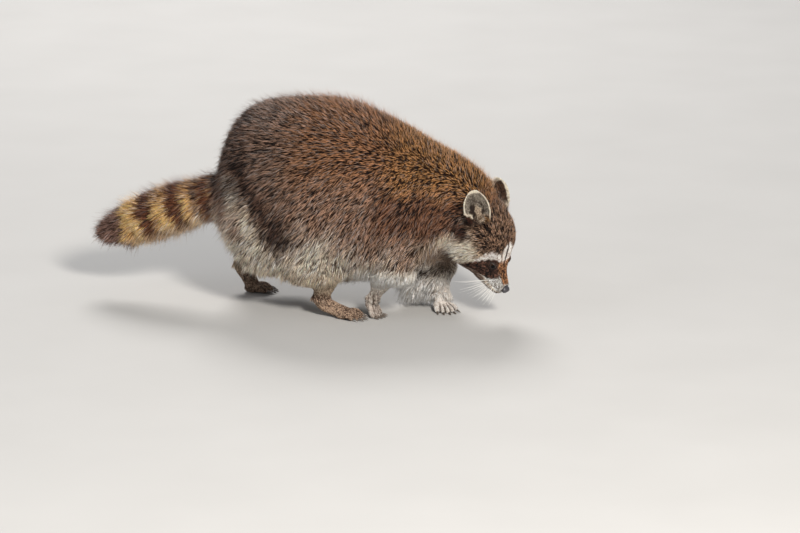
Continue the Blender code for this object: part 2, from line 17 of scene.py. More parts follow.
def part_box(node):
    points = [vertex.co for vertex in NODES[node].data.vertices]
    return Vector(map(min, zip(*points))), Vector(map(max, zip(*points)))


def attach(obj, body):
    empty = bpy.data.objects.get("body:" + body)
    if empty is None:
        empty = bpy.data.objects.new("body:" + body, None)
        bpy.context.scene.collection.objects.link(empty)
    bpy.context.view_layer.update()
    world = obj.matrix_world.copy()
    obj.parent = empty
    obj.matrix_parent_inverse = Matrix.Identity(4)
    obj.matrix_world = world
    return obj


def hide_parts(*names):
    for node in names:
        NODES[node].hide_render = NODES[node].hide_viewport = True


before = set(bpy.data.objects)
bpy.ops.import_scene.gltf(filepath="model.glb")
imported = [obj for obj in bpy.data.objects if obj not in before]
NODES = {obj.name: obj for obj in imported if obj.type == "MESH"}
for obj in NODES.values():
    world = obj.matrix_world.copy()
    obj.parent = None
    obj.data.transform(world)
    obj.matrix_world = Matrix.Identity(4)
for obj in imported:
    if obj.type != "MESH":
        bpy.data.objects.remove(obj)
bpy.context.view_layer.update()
DRAW = np.random.default_rng(41)

LEGS = ["hind_leg_right", "hind_leg_left", "foreleg_right", "foreleg_left"]
FEET = ["hind_foot_right", "hind_foot_left", "forepaw_right", "forepaw_left"]
EARS = ["ear_left", "ear_right"]
FLESH = ["head", "neck", "trunk", "tail", *LEGS, *FEET, *EARS]
SIDES = {"left": 1.0, "right": -1.0}

# ---- the skin, in metres ----
SKIN_VOXEL = 0.0013
FINE_PARTS = ["head", *FEET, *EARS]  # these keep all the faces of their skin
GAP_CLOSING = 0.0005  # how far each piece of flesh swells to meet its neighbours
FACES_KEPT = 0.226  # of all the skin's faces; the body gives up the rest, under the thick of the coat
DEEPEST = 0.30  # of the flesh's thickness may go to the coat
RAY_START = 0.0006  # rays through the flesh start this far under its surface
OPEN_ROOM = 0.2  # the room where such a ray meets nothing
TOE_GAP_WIDTH, TOE_GAP_DEPTH = 0.0014, 0.0032

# ---- the coat of each part: depth, angle from the skin, width of a tuft, spacing; in mm and degrees ----
COAT = {
    "head": (5.0, 26, 1.3, 1.20),
    "neck": (17.0, 46, 1.22, 1.46),
    "trunk": (15.0, 36, 1.20, 1.50),
    "tail": (22.0, 46, 1.15, 1.20),
    "hind_leg_right": (12.0, 30, 1.22, 1.45),
    "hind_leg_left": (12.0, 30, 1.3, 1.50),
    "foreleg_right": (11.0, 30, 1.2, 1.42),
    "foreleg_left": (11.0, 30, 1.3, 1.42),
    "hind_foot_right": (0.9, 13, 0.7, 0.95),
    "hind_foot_left": (0.9, 13, 0.7, 0.95),
    "forepaw_right": (0.7, 12, 0.6, 0.95),
    "forepaw_left": (0.8, 12, 0.7, 0.95),
    "ear_left": (1.1, 17, 0.6, 0.85),
    "ear_right": (1.1, 17, 0.6, 0.85),
}
LONGEST, LONG_FROM = 0.048, 0.037  # the longest tuft, and where the long tufts begin, in metres
LOCK_SIZE = 0.0018  # tufts this near to each other form one lock
FLOOR_GAP = 0.0006  # no hair or whisker comes nearer to the floor

# ---- the lie of the coat: where each foot heads, in degrees from +X, and how far it points down ----
FOOT_HEADING = {
    "hind_foot_right": (-12, 22),
    "hind_foot_left": (4, 22),
    "forepaw_right": (-14, 66),
    "forepaw_left": (-58, 24),
}

# ---- the tail: points down its middle from the root, x, y, z; rings by distance from the root ----
TAIL_LINE = np.array([
    (-0.093, 0.000, 0.190), (-0.133, 0.001, 0.174), (-0.178, 0.003, 0.160), (-0.223, 0.006, 0.143),
    (-0.268, 0.010, 0.124), (-0.303, 0.014, 0.110), (-0.331, 0.017, 0.099), (-0.349, 0.019, 0.091),
])
TAIL_STEPS = np.diff(TAIL_LINE, axis=0)
DARK_RINGS = [(0.014, 0.034), (0.057, 0.077), (0.103, 0.128), (0.153, 0.182), (0.214, 0.400)]

# ---- the head, in its own frame: forwards f, left l, up n, from the tip of the nose ----
EYE_BACK, EYE_UP = 0.0440, 0.0088
NOSE_BACK, NOSE_UP = 0.0010, -0.0010
EYE_RADIUS = 0.0070
EYE_OUTWARD = (0.60, 0.72, 0.36)
OPENING = (0.80, 0.36, 0.44)  # half the angle between its corners, and its angles up and down
LID_THICKNESS = 0.0009
BRIM_FROM, BRIM_TO = math.radians(60), math.radians(104)  # from the eye's axis; here the lids meet the face
BRIM_RADIUS, BRIM_SUNK = 0.0112, 0.0009  # the brim's own radius, and how far it lies under the face
RAY_HEIGHT = 0.014  # rays that read the height of the face start this far out
LID_HAIRS = 9000  # drawn for each eye; those over the opening are dropped
NOSE_SIZE = np.array([0.0068, 0.0082, 0.0062])
WHISKER_RADIUS, WHISKER_STEPS, WHISKER_SIDES = 0.00034, 9, 4
EAR_AXES = {
    "left": ((-0.110, 0.036, 0.018), (-0.92, 0.08, 0.36), (0.08, 0.84, 0.52)),
    "right": ((-0.109, -0.048, 0.033), (-0.88, -0.26, 0.38), (0.02, -0.84, 0.52)),
}
EAR_LENGTH, EAR_HALF_WIDTH = 0.060, 0.0205


def linear(*levels):
    """A colour given as display levels from 0 to 255, as linear light."""
    c = np.array(levels, float) / 255
    return np.where(c > 0.04045, ((c + 0.055) / 1.055) ** 2.4, c / 12.92)


def tone(light, dark, share):
    """Light hairs, dark hairs and the share of light ones, as one row of seven numbers."""
    return np.concatenate([linear(*light), linear(*dark), [share]])


# the light hairs, the dark hairs, and the share of light ones
TONES = {
    "back": ((188, 134, 95), (31, 17, 10), 0.46),
    "flank": ((196, 154, 127), (36, 20, 13), 0.46),
    "low_flank": ((252, 230, 206), (74, 52, 40), 0.61),
    "belly": ((164, 136, 112), (58, 39, 29), 0.52),
    "shoulder": ((161, 112, 83), (28, 14, 9), 0.42),
    "rump": ((170, 135, 114), (28, 17, 12), 0.43),
    "nape": ((198, 144, 90), (31, 16, 8), 0.49),
    "fringe": ((230, 219, 205), (60, 46, 38), 0.51),
    # painted shade, laid in the fold behind the thigh, on the turned-away rump and between the toes
    "painted_shade": ((80, 47, 33), (22, 10, 6), 0.25),
    # the thigh's paler hair, partly painted light where the thigh turns to the light
    "thigh": ((255, 238, 212), (80, 57, 42), 0.71),
    # the lower foreleg's pale hair, made paler still as painted light where the body shades it
    "fore_shank_lit": ((255, 252, 243), (206, 184, 163), 0.92),
    "shank": ((247, 223, 195), (104, 80, 62), 0.70),
    "tail_tan": ((255, 204, 130), (124, 70, 36), 0.82),
    "tail_dark": ((142, 88, 60), (42, 21, 12), 0.40),
    "tail_tip": ((170, 131, 114), (64, 42, 33), 0.48),
    "tail_under": ((240, 208, 168), (120, 90, 64), 0.76),
    "crown": ((188, 148, 119), (23, 12, 7), 0.41),
    "ruff": ((252, 236, 214), (128, 104, 82), 0.72),
    "cheek": ((244, 216, 186), (88, 65, 48), 0.60),
    # greyish hair of throat and chest, painted darker as the shade under the head
    "throat_in_shade": ((160, 135, 114), (74, 56, 44), 0.66),
    "forearm": ((190, 165, 142), (108, 86, 70), 0.70),
    "brow": ((255, 253, 248), (146, 122, 106), 0.84),
    "mask": ((152, 108, 90), (18, 9, 6), 0.26),
    "bridge": ((224, 160, 112), (54, 32, 20), 0.54),
    "muzzle": ((255, 252, 245), (84, 73, 65), 0.66),
    # the lower jaw's whitish grey hair, painted darker as shade
    "jaw_in_shade": ((178, 154, 138), (96, 74, 62), 0.60),
    "lip": ((70, 48, 40), (30, 18, 14), 0.30),
    "ear_back": ((112, 82, 62), (40, 25, 18), 0.45),
    "ear_inside": ((178, 168, 152), (76, 66, 58), 0.56),
    # painted shade in the depth and folds of the ear's cup
    "ear_hollow_shade": ((80, 60, 48), (24, 14, 10), 0.30),
    "ear_wisp": ((220, 202, 178), (100, 78, 60), 0.56),
    "ear_rim": ((250, 240, 220), (160, 144, 124), 0.84),
    "behind_ear": ((92, 50, 32), (22, 10, 6), 0.34),
    "hind_paw": ((229, 197, 169), (74, 51, 39), 0.60),
    "far_paw": ((255, 250, 244), (176, 160, 146), 0.86),
    "near_paw": ((253, 240, 228), (108, 88, 76), 0.68),
}
TONES = {name: tone(*row) for name, row in TONES.items()}


# ------------------------------------------------------------------ small sums


def unit(v):
    return v / np.maximum(np.linalg.norm(v, axis=-1, keepdims=True), 1e-12)


def ramp(x, lo, hi):
    """0 at lo, 1 at hi, smooth between; lo may be the greater."""
    t = np.clip((x - lo) / (hi - lo), 0, 1)
    return t * t * (3 - 2 * t)


def hump(x, at, width):
    """1 at one value of x, falling off smoothly over the width on either side."""
    return np.exp(-(((x - at) / width) ** 2))


def flat_to(v, n):
    """v with its share along the normals n taken out."""
    return v - n * (v * n).sum(-1, keepdims=True)


def middle(node):
    lo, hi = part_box(node)
    return (lo + hi) / 2


def head_frame():
    """Where the head's own frame stands: its origin, and its forward, left and up as rows."""
    left, right, nose = middle("eye_left"), middle("eye_right"), middle("nose")
    across = (left - right).normalized()
    ahead = nose - (left + right) / 2
    ahead = (ahead - across * ahead.dot(across)).normalized()
    above = ahead.cross(across)
    dip = math.atan2(EYE_UP - NOSE_UP, EYE_BACK + NOSE_BACK)
    forward = ahead * math.cos(dip) + above * math.sin(dip)
    top = above * math.cos(dip) - ahead * math.sin(dip)
    origin = nose - forward * NOSE_BACK - top * NOSE_UP
    return np.array(origin), np.array([forward, across, top])


HEAD_AT, HEAD_AXES = head_frame()


def in_head(points):
    return (points - HEAD_AT) @ HEAD_AXES.T


def from_head(points):
    return HEAD_AT + np.asarray(points, float) @ HEAD_AXES


def round_head(points):
    """Forwards, left and up in the head's frame, and the angle up from its side in degrees."""
    f, left, up = in_head(points).T
    return f, left, up, np.degrees(np.arctan2(up + 0.005, np.abs(left)))


def head_way(f, left, n):
    """A direction given in the head's frame."""
    return np.asarray([f, left, n], float) @ HEAD_AXES


WAVES = [(DRAW.normal(size=(9, 3)), DRAW.uniform(0, 2 * math.pi, 9)) for _ in range(6)]


def drift(points, size, which):
    """Smooth variation from about -1 to 1 over features of the given size."""
    ways, phases = WAVES[which]
    return np.sin(points @ (unit(ways) * (4.4 / size)).T + phases).sum(1) / 3.2


def lot(points, size, which):
    """A random number from 0 to 1, the same for all that stands in one small cell."""
    cell = np.floor(points / size + WAVES[which][1][:3]).astype(np.int64).astype(np.uint64)
    mixed = cell[:, 0] * np.uint64(73856093) + cell[:, 1] * np.uint64(19349663)
    mixed = mixed + cell[:, 2] * np.uint64(83492791) + np.uint64(977 * which + 11)
    for shift in (33, 29, 32):
        mixed = (mixed ^ (mixed >> np.uint64(shift))) * np.uint64(0x9E3779B97F4A7C15)
    return (mixed >> np.uint64(40)).astype(float) / 2.0**24


# ------------------------------------------------------------------ markings, with painted light and shade


def along_tail(points):
    """Distance down the middle of the tail from its root, and height above that middle."""
    best = np.full(len(points), 1e9)
    place, height = np.zeros((2, len(points)))
    walked = 0.0
    last = len(TAIL_STEPS) - 1
    for i, (a, step) in enumerate(zip(TAIL_LINE, TAIL_STEPS)):
        way, reach = unit(step), np.linalg.norm(step)
        t = (points - a) @ way
        t = np.clip(t, None if i == 0 else 0, None if i == last else reach)
        off = points - a - t[:, None] * way
        far = np.linalg.norm(off, axis=1)
        closer = far < best
        best[closer] = far[closer]
        place[closer] = walked + t[closer]
        height[closer] = off[closer, 2]
        walked += reach
    return place, height


def in_ear(points, side):
    """Place in an ear: 0 at its base to 1 at its tip, share of its width, and height out of its cup."""
    base, along, facing = (np.array(v, float) for v in EAR_AXES[side])
    along = unit(along)
    across = unit(np.cross(along, facing))
    facing = np.cross(across, along)
    off = in_head(points) - base
    t = off @ along / EAR_LENGTH
    width = np.interp(t, [0, 0.25, 0.48, 0.7, 0.85, 0.95, 1.0], [0.62, 0.89, 1.0, 0.93, 0.75, 0.5, 0.25])
    return t, off @ across / (EAR_HALF_WIDTH * width), off @ facing


MASK_TOP = (
    [-28, -14, 2, 12, 24, 36, 51, 63, 74],
    [-0.0645, -0.062, -0.0587, -0.0565, -0.0543, -0.0506, -0.0461, -0.0419, -0.036],
)
MASK_LOW = (
    [-30, -27, -21, -19, -12, 6, 34, 59, 74],
    [-0.064, -0.059, -0.047, -0.037, -0.029, -0.0233, -0.0218, -0.027, -0.036],
)
BROW_TOP = (
    [-12, 3, 12, 24, 36, 44, 52, 62, 70, 78, 85],
    [-0.0600, -0.0610, -0.0623, -0.0612, -0.0628, -0.0605, -0.0560, -0.0538, -0.0580, -0.0605, -0.0640],
)
MOUTH = ([-0.045, -0.030, -0.015, -0.004, 0.004], [-0.0275, -0.0240, -0.0200, -0.0170, -0.0160])
STRIPE_AT, STRIPE_HALF = -0.0025, 0.0021


def markings(points, parts, inner):
    """The tone at each place. parts holds each place's share of every part of the flesh, and
    inner says how far a place is on the inside of an ear."""
    x, y, z = points.T
    tones = np.tile(TONES["back"], (len(points), 1))

    def lay(weight, name):
        tones[:] += np.clip(weight, 0, 1)[:, None] * (TONES[name] - tones)

    part = dict(zip(FLESH, parts.T))
    wander = drift(points, 0.030, 0)
    z_soft = z + 0.010 * wander
    lay(ramp(z_soft, 0.250, 0.185), "flank")
    front = ramp(x, 0.040, 0.130)
    lay(ramp(z_soft + 0.042 * front, 0.174, 0.106), "low_flank")
    lay(ramp(x, 0.110, 0.160) * ramp(z_soft, 0.130, 0.155) * ramp(z_soft, 0.230, 0.200), "shoulder")
    lay(ramp(x, 0.035, -0.045) * ramp(z_soft, 0.13, 0.19), "rump")
    lay(ramp(x, 0.120, 0.190) * ramp(z_soft, 0.185, 0.235), "nape")
    lay(ramp(np.abs(y), 0.055, 0.030) * ramp(z, 0.120, 0.085), "belly")
    # the fold behind the thigh, from beside the tail down to the knee, with painted shade laid along the
    # fold
    fold_a, fold_b = np.array([-0.099, 0.243]), np.array([-0.010, 0.112])
    way = unit(fold_b - fold_a)
    off = points[:, [0, 2]] - fold_a
    down = off @ way
    beside = off @ np.array([way[1], -way[0]]) + 0.003 * wander
    span = ramp(down, -0.010, 0.012) * ramp(down, 0.185, 0.150) * ramp(np.abs(y), 0.045, 0.070)
    body = 1 - part["tail"]
    beside = beside + 0.004 * drift(points, 0.018, 2)
    patchy = 0.84 + 0.30 * drift(points, 0.026, 4)
    # beside the fold, the thigh's paler hair with painted light on it
    lay(patchy * hump(beside, 0.024, 0.014) * span * body * ramp(down, 0.0, 0.04), "thigh")
    wide = 0.012 + 0.012 * ramp(down, 0.03, 0.15)
    dim = 0.70 + 0.24 * ramp(down, 0.05, 0.13)
    # painted shade along the fold itself
    lay(dim * hump(beside, -0.005, wide) * span * body, "painted_shade")
    # painted shade on the back of the rump, where it turns away from the light
    lay(0.45 * ramp(x, -0.062, -0.092) * ramp(z, 0.165, 0.195) * body, "painted_shade")
    # chest and the long pale hair of the forelegs
    lay(ramp(x, 0.125, 0.175) * ramp(z_soft, 0.098, 0.074), "fringe")
    # the chest under the head: greyish hair painted darker as the head's shade
    lay(ramp(x, 0.200, 0.235) * ramp(z, 0.150, 0.110) * 0.8, "throat_in_shade")
    lay(0.8 * part["neck"] * ramp(z_soft, 0.112, 0.140) * ramp(z_soft, 0.205, 0.180), "shoulder")
    for leg, foot in zip(LEGS[:2], FEET[:2]):
        both = part[leg] + part[foot]
        lay(both * ramp(z, 0.085, 0.060), "shank")
        lay(both * ramp(z, 0.046, 0.026), "hind_paw")
    # pale hair of the lower foreleg, with painted light where the body shades it
    lay(part["foreleg_right"] * ramp(z, 0.088, 0.064), "fore_shank_lit")
    lay(part["foreleg_right"] * ramp(z, 0.056, 0.036), "near_paw")
    lay(0.85 * part["foreleg_left"], "forearm")
    lay(part["foreleg_left"] * ramp(z, 0.080, 0.052), "fringe")
    lay(part["foreleg_left"] * ramp(z, 0.060, 0.040), "far_paw")
    # tail
    place, height = along_tail(points)
    on_tail = ramp(part["tail"], 0.10, 0.55) * ramp(place, -0.012, 0.006)
    lay(on_tail, "tail_tan")
    lay(on_tail * ramp(height, -0.012, -0.034), "tail_under")
    edge = place + 0.004 * drift(points, 0.012, 1)
    for start, end in DARK_RINGS:
        ring = ramp(edge, start - 0.004, start + 0.004) * ramp(edge, end + 0.004, end - 0.004)
        least = 0.25 if start > 0.09 else 0.8
        fade = least + (1 - least) * ramp(height, -0.036, -0.013) if end < 0.3 else 1.0
        lay(on_tail * ring * fade, "tail_dark" if end < 0.3 else "tail_tip")
    lay(0.5 * on_tail * ramp(height, 0.010, 0.032) * ramp(place, 0.20, 0.15), "tail_dark")
    # feet
    lay(part["forepaw_right"], "near_paw")
    lay(part["forepaw_left"], "far_paw")
    # painted shade in the gaps between the toes
    lay(0.8 * toe_gaps(points) * sum(part[foot] for foot in FEET), "painted_shade")
    # head
    f, left, n, turn = round_head(points)
    legs = sum(part[name] for name in LEGS + FEET)
    on_head = ramp(f, -0.150, -0.120) * ramp(n, -0.085, -0.060) * (1 - legs)
    f = f + 0.0011 * drift(points, 0.006, 2)
    soft = 0.0019
    lay(on_head * ramp(turn, 0, 22), "crown")
    lay(on_head * ramp(turn, 28, 12) * ramp(f, -0.122, -0.106), "cheek")
    ruff = ramp(turn, 18, 3) * ramp(turn, -34, -22) * ramp(f, -0.116, -0.098)
    lay(on_head * ruff, "ruff")
    # under the jaw: greyish hair painted darker as shade
    lay(on_head * ramp(turn, -24, -36), "throat_in_shade")
    spot = in_head(points) - np.array([-0.112, 0.0, -0.004])
    spot[:, 1] = np.abs(left) - 0.060
    lay(np.exp(-((np.linalg.norm(spot, axis=1) / 0.0150) ** 4)) * (1 - legs), "behind_ear")
    mask_top = np.interp(turn, *MASK_TOP)
    mask_low = np.interp(turn, *MASK_LOW)
    brow_top = np.interp(turn, *BROW_TOP) + 0.0016 * drift(points, 0.005, 3)
    brow = ramp(f, brow_top - 0.0034, brow_top + 0.0022) * ramp(turn, -8, 4)
    lay(on_head * brow, "brow")
    lay(on_head * ramp(f, mask_low - soft, mask_low + soft) * ramp(turn, -24, -12), "muzzle")
    # the lower jaw: whitish grey hair painted darker as shade
    lay(on_head * ramp(f, -0.068, -0.056) * ramp(f, -0.020, -0.030) * ramp(turn, -16, -24), "jaw_in_shade")
    mask = ramp(f, mask_top - soft, mask_top + soft) * ramp(f, mask_low + soft, mask_low - soft)
    lay(on_head * mask * ramp(turn, -30, -26), "mask")
    ridge = ramp(turn, 40, 54) * ramp(f, -0.0440, -0.0375) * ramp(f, -0.003, -0.008)
    lay(on_head * ridge, "bridge")
    column = hump(turn, 66, 3.4) * ramp(f, -0.068, -0.060) * ramp(f, -0.034, -0.040)
    lay(on_head * 0.75 * column, "crown")
    lip = hump(n, np.interp(f, *MOUTH), 0.0011) * ramp(f, -0.046, -0.040) * ramp(n, 0, -0.01)
    lay(on_head * 0.85 * lip, "lip")
    stripe = ramp(np.abs(left - STRIPE_AT), STRIPE_HALF + 0.0008, STRIPE_HALF - 0.0008)
    stripe = stripe * ramp(f, -0.082, -0.074) * (0.4 + 0.6 * ramp(f, -0.034, -0.039)) * ramp(n, 0, 0.01)
    stripe = stripe * ramp(f, -0.010, -0.018)
    lay(on_head * stripe, "mask")
    # ears: a grey cup with painted shade in its depth and folds, a tongue of pale hair and a notch low down
    # behind
    for name, sign in SIDES.items():
        t, across, _ = in_ear(points, name)
        fore = 0.10 * drift(points, 0.006, 3) - sign * across
        ear = part["ear_" + name] * ramp(t, 0.02, 0.16)
        lay(ear, "ear_back")
        cup = ear * inner
        lay(cup, "ear_inside")
        lay(0.6 * cup * np.exp(-(((fore + 0.05) / 0.36) ** 2) - ((t - 0.72) / 0.09) ** 2), "ear_hollow_shade")
        lay(cup * ramp(np.abs(fore + 0.46 - 0.20 * t), 0.26, 0.16) * ramp(t, 0.70, 0.60), "ear_hollow_shade")
        beside = np.abs(fore - 0.06) - (0.14 + 0.16 * ramp(t, 0.62, 0.30))
        lay(cup * ramp(beside, 0.08, -0.04) * ramp(t + 0.3 * fore, 0.68, 0.52), "ear_wisp")
        lay(cup * hump(fore, 0.42, 0.08) * ramp(t, 0.26, 0.36) * ramp(t, 0.72, 0.64), "ear_hollow_shade")
        lay(cup * ramp(fore, 0.42, 0.58) * ramp(t, 0.36, 0.20), "nape")
        rim = np.maximum(ramp(np.abs(across), 0.88, 0.97), ramp(t, 0.93, 0.98))
        lay(ear * rim * ramp(t, 0.12, 0.30), "ear_rim")
        notch = t - (0.48 - 0.33 * (fore + 1.0))
        lay(cup * ramp(fore, -0.34, -0.44) * hump(notch, 0, 0.045), "ear_rim")
        lay(ear * ramp(fore, -0.30, -0.40) * ramp(notch, -0.02, -0.06), "behind_ear")
    return tones


# ------------------------------------------------------------------ meshes


def add_object(name, mesh):
    piece = bpy.data.objects.new(name, mesh)
    bpy.context.scene.collection.objects.link(piece)
    return piece


def only(piece):
    """Makes a piece the one that operators act on."""
    bpy.ops.object.select_all(action="DESELECT")
    piece.select_set(True)
    bpy.context.view_layer.objects.active = piece


def apply_all(piece):
    only(piece)
    for modifier in list(piece.modifiers):
        bpy.ops.object.modifier_apply(modifier=modifier.name)


def read(items, field, width, kind=np.float32):
    """One property of all a mesh's vertices, edges or faces, in rows of the given width."""
    values = np.empty(len(items) * width, kind)
    items.foreach_get(field, values)
    return values.reshape(-1, width)


def write(items, field, values, kind=np.float32):
    items.foreach_set(field, np.asarray(values, kind).ravel())


def places(mesh):
    return read(mesh.vertices, "co", 3).astype(float)


def move_to(mesh, co):
    write(mesh.vertices, "co", co)
    mesh.update()


def normals(mesh):
    return read(mesh.vertex_normals, "vector", 3).astype(float)


def edge_ends(mesh):
    return read(mesh.edges, "vertices", 2, np.int32)


def tree_of(mesh):
    """The faces of a mesh, ready for rays and for the nearest place."""
    return BVHTree.FromPolygons([v.co[:] for v in mesh.vertices], [p.vertices[:] for p in mesh.polygons])


def face_outwards(mesh):
    bm = bmesh.new()
    bm.from_mesh(mesh)
    bmesh.ops.recalc_face_normals(bm, faces=bm.faces[:])
    bm.to_mesh(mesh)
    bm.free()


def add_ball(name, segments, rings, radius=1.0):
    bpy.ops.object.select_all(action="DESELECT")
    bpy.ops.mesh.primitive_uv_sphere_add(segments=segments, ring_count=rings, radius=radius)
    ball = bpy.context.object
    ball.name = ball.data.name = name
    return ball


def cover(mesh, finish):
    """Gives a mesh its one finish, shaded smooth."""
    mesh.shade_smooth()
    mesh.materials.append(finish)


def relaxed(values, ends, passes, share=1.0):
    """Values averaged with their neighbours' over the mesh, some passes long."""
    values = np.array(values, float)
    single = values.ndim == 1
    values = values.reshape(len(values), -1)
    count = len(values)
    a, b = ends.T
    near = np.bincount(a, minlength=count) + np.bincount(b, minlength=count)
    share = np.broadcast_to(np.asarray(share, float), count)
    for _ in range(passes):
        for k in range(values.shape[1]):
            v = values[:, k]
            total = np.bincount(a, v[b], count) + np.bincount(b, v[a], count)
            values[:, k] = v + share * ((v + total) / (1 + near) - v)
    return values[:, 0] if single else values


def flesh_copies():
    """A welded copy of each piece of flesh, swollen to close the gaps, joined in one mesh."""
    whole = bmesh.new()
    owner = []
    for index, node in enumerate(FLESH):
        bm = bmesh.new()
        bm.from_mesh(NODES[node].data)
        bmesh.ops.remove_doubles(bm, verts=bm.verts[:], dist=1e-6)
        bmesh.ops.triangulate(bm, faces=bm.faces[:])
        bm.normal_update()
        for v in bm.verts:
            v.co += v.normal * GAP_CLOSING
        piece = bpy.data.meshes.new(node)
        bm.to_mesh(piece)
        bm.free()
        owner += [index] * len(piece.polygons)
        whole.from_mesh(piece)
        bpy.data.meshes.remove(piece)
    mesh = bpy.data.meshes.new("raccoon_skin")
    whole.to_mesh(mesh)
    whole.free()
    return mesh, owner


def keep_largest(piece):
    """Drops all but the largest shell of a mesh."""
    mesh = piece.data
    count = len(mesh.vertices)
    label = np.arange(count)
    a, b = edge_ends(mesh).T
    while True:
        low = np.minimum(label[a], label[b])
        fresh = label.copy()
        np.minimum.at(fresh, a, low)
        np.minimum.at(fresh, b, low)
        fresh = fresh[fresh]
        if (fresh == label).all():
            break
        label = fresh
    best = np.bincount(label).argmax()
    bm = bmesh.new()
    bm.from_mesh(mesh)
    bm.verts.ensure_lookup_table()
    strays = [bm.verts[i] for i in np.nonzero(label != best)[0]]
    bmesh.ops.delete(bm, geom=strays, context="VERTS")
    bm.to_mesh(mesh)
    bm.free()


def shares_of_flesh(points, tree, owner, ends, passes):
    """Each place's share of every part, one part by nearness and then blended."""
    shares = np.zeros((len(points), len(FLESH)))
    for i, p in enumerate(points):
        shares[i, owner[tree.find_nearest(Vector(p))[2]]] = 1
    return relaxed(shares, ends, passes)


# ------------------------------------------------------------------ the coat's fields


def coat_fields(points, n, shares):
    """Depth, angle from the skin, tuft width, spacing and length share at each place."""
    table = np.array([COAT[name] for name in FLESH])
    depth, stand, width, spacing = (shares @ table).T
    part = dict(zip(FLESH, shares.T))
    x, _, z = points.T
    f, _, _, turn = round_head(points)
    head = part["head"]
    # the head: close on the muzzle, deeper over the crown, deepest in the ruff of the cheeks
    face = np.interp(f, [-0.120, -0.085, -0.066, -0.045, -0.02, 0], [9, 5.6, 3.4, 1.9, 1.3, 0.8])
    ruff = ramp(turn, 34, 8) * ramp(f, -0.058, -0.085) * ramp(turn, -80, -40)
    face += 9 * ruff
    depth += head * (face - COAT["head"][0])
    rise = np.interp(f, [-0.120, -0.080, -0.060, -0.030, 0], [36, 30, 24, 16, 12])
    stand += head * (rise + 6 * ruff - COAT["head"][1])
    fine = ramp(f, -0.095, -0.060)
    width += head * (1.10 - 0.45 * fine - COAT["head"][2])
    spacing += head * (1.35 - 0.50 * fine - COAT["head"][3])
    # legs: shorter coat towards the feet
    behind = part["foreleg_left"] * ramp(z, 0.020, 0.038) * ramp(n[:, 0], 0.5, -0.3)
    for leg in LEGS:
        low = part[leg] * ramp(z, 0.100, 0.050)
        if leg == "foreleg_left":
            low = low * (1 - 0.75 * behind)
        depth *= 1 - 0.90 * low
        stand -= 18 * low
        width -= 0.4 * low
        spacing -= 0.36 * low
    # nape stands up, rump and back lie closer
    nape = ramp(x, 0.10, 0.20) * ramp(z, 0.19, 0.25) * (part["trunk"] + part["neck"])
    stand += 14 * nape * part["neck"]
    stand += 22 * nape * part["trunk"]
    depth += 2 * nape
    # hanging hair under the belly, on the chest and behind the left foreleg
    length = np.ones(len(points))
    under = ramp(n[:, 2], 0.1, -0.6) * ramp(z, 0.13, 0.10)
    length += 0.12 * under * (part["trunk"] + part["neck"])
    length -= 0.16 * part["trunk"] * ramp(z, 0.120, 0.090) * ramp(x, 0.15, 0.10)
    length += 1.15 * behind
    width += 0.45 * behind
    # long hair low on the flanks, and a shaggy edge under the muzzle
    flanks = ramp(z, 0.200, 0.140) * ramp(z, 0.092, 0.118) * ramp(np.abs(n[:, 2]), 0.75, 0.45)
    length += 0.22 * flanks * (part["trunk"] + part["hind_leg_right"] + part["hind_leg_left"])
    shag = head * ramp(turn, -4, -22) * ramp(f, -0.004, -0.010) * ramp(f, -0.040, -0.030)
    length += 1.1 * shag
    stand += 14 * shag
    # ears: flat hair, with long wisps rising from the foot of the cup
    for name in SIDES:
        ear = part["ear_" + name]
        t, _, _ = in_ear(points, name)
        wisp = ear * ear_inside(points, n) * ramp(t, 0.32, 0.10)
        length -= 0.15 * ear
        length += 2.6 * wisp
        stand += 22 * wisp
    wrist = part["forepaw_left"] * ramp(z, 0.020, 0.034)
    length += 1.6 * wrist
    stand = np.radians(np.clip(stand + 5 * wrist, 4, 75))
    return np.column_stack([depth / 1000, stand, width / 1000, spacing / 1000, length])


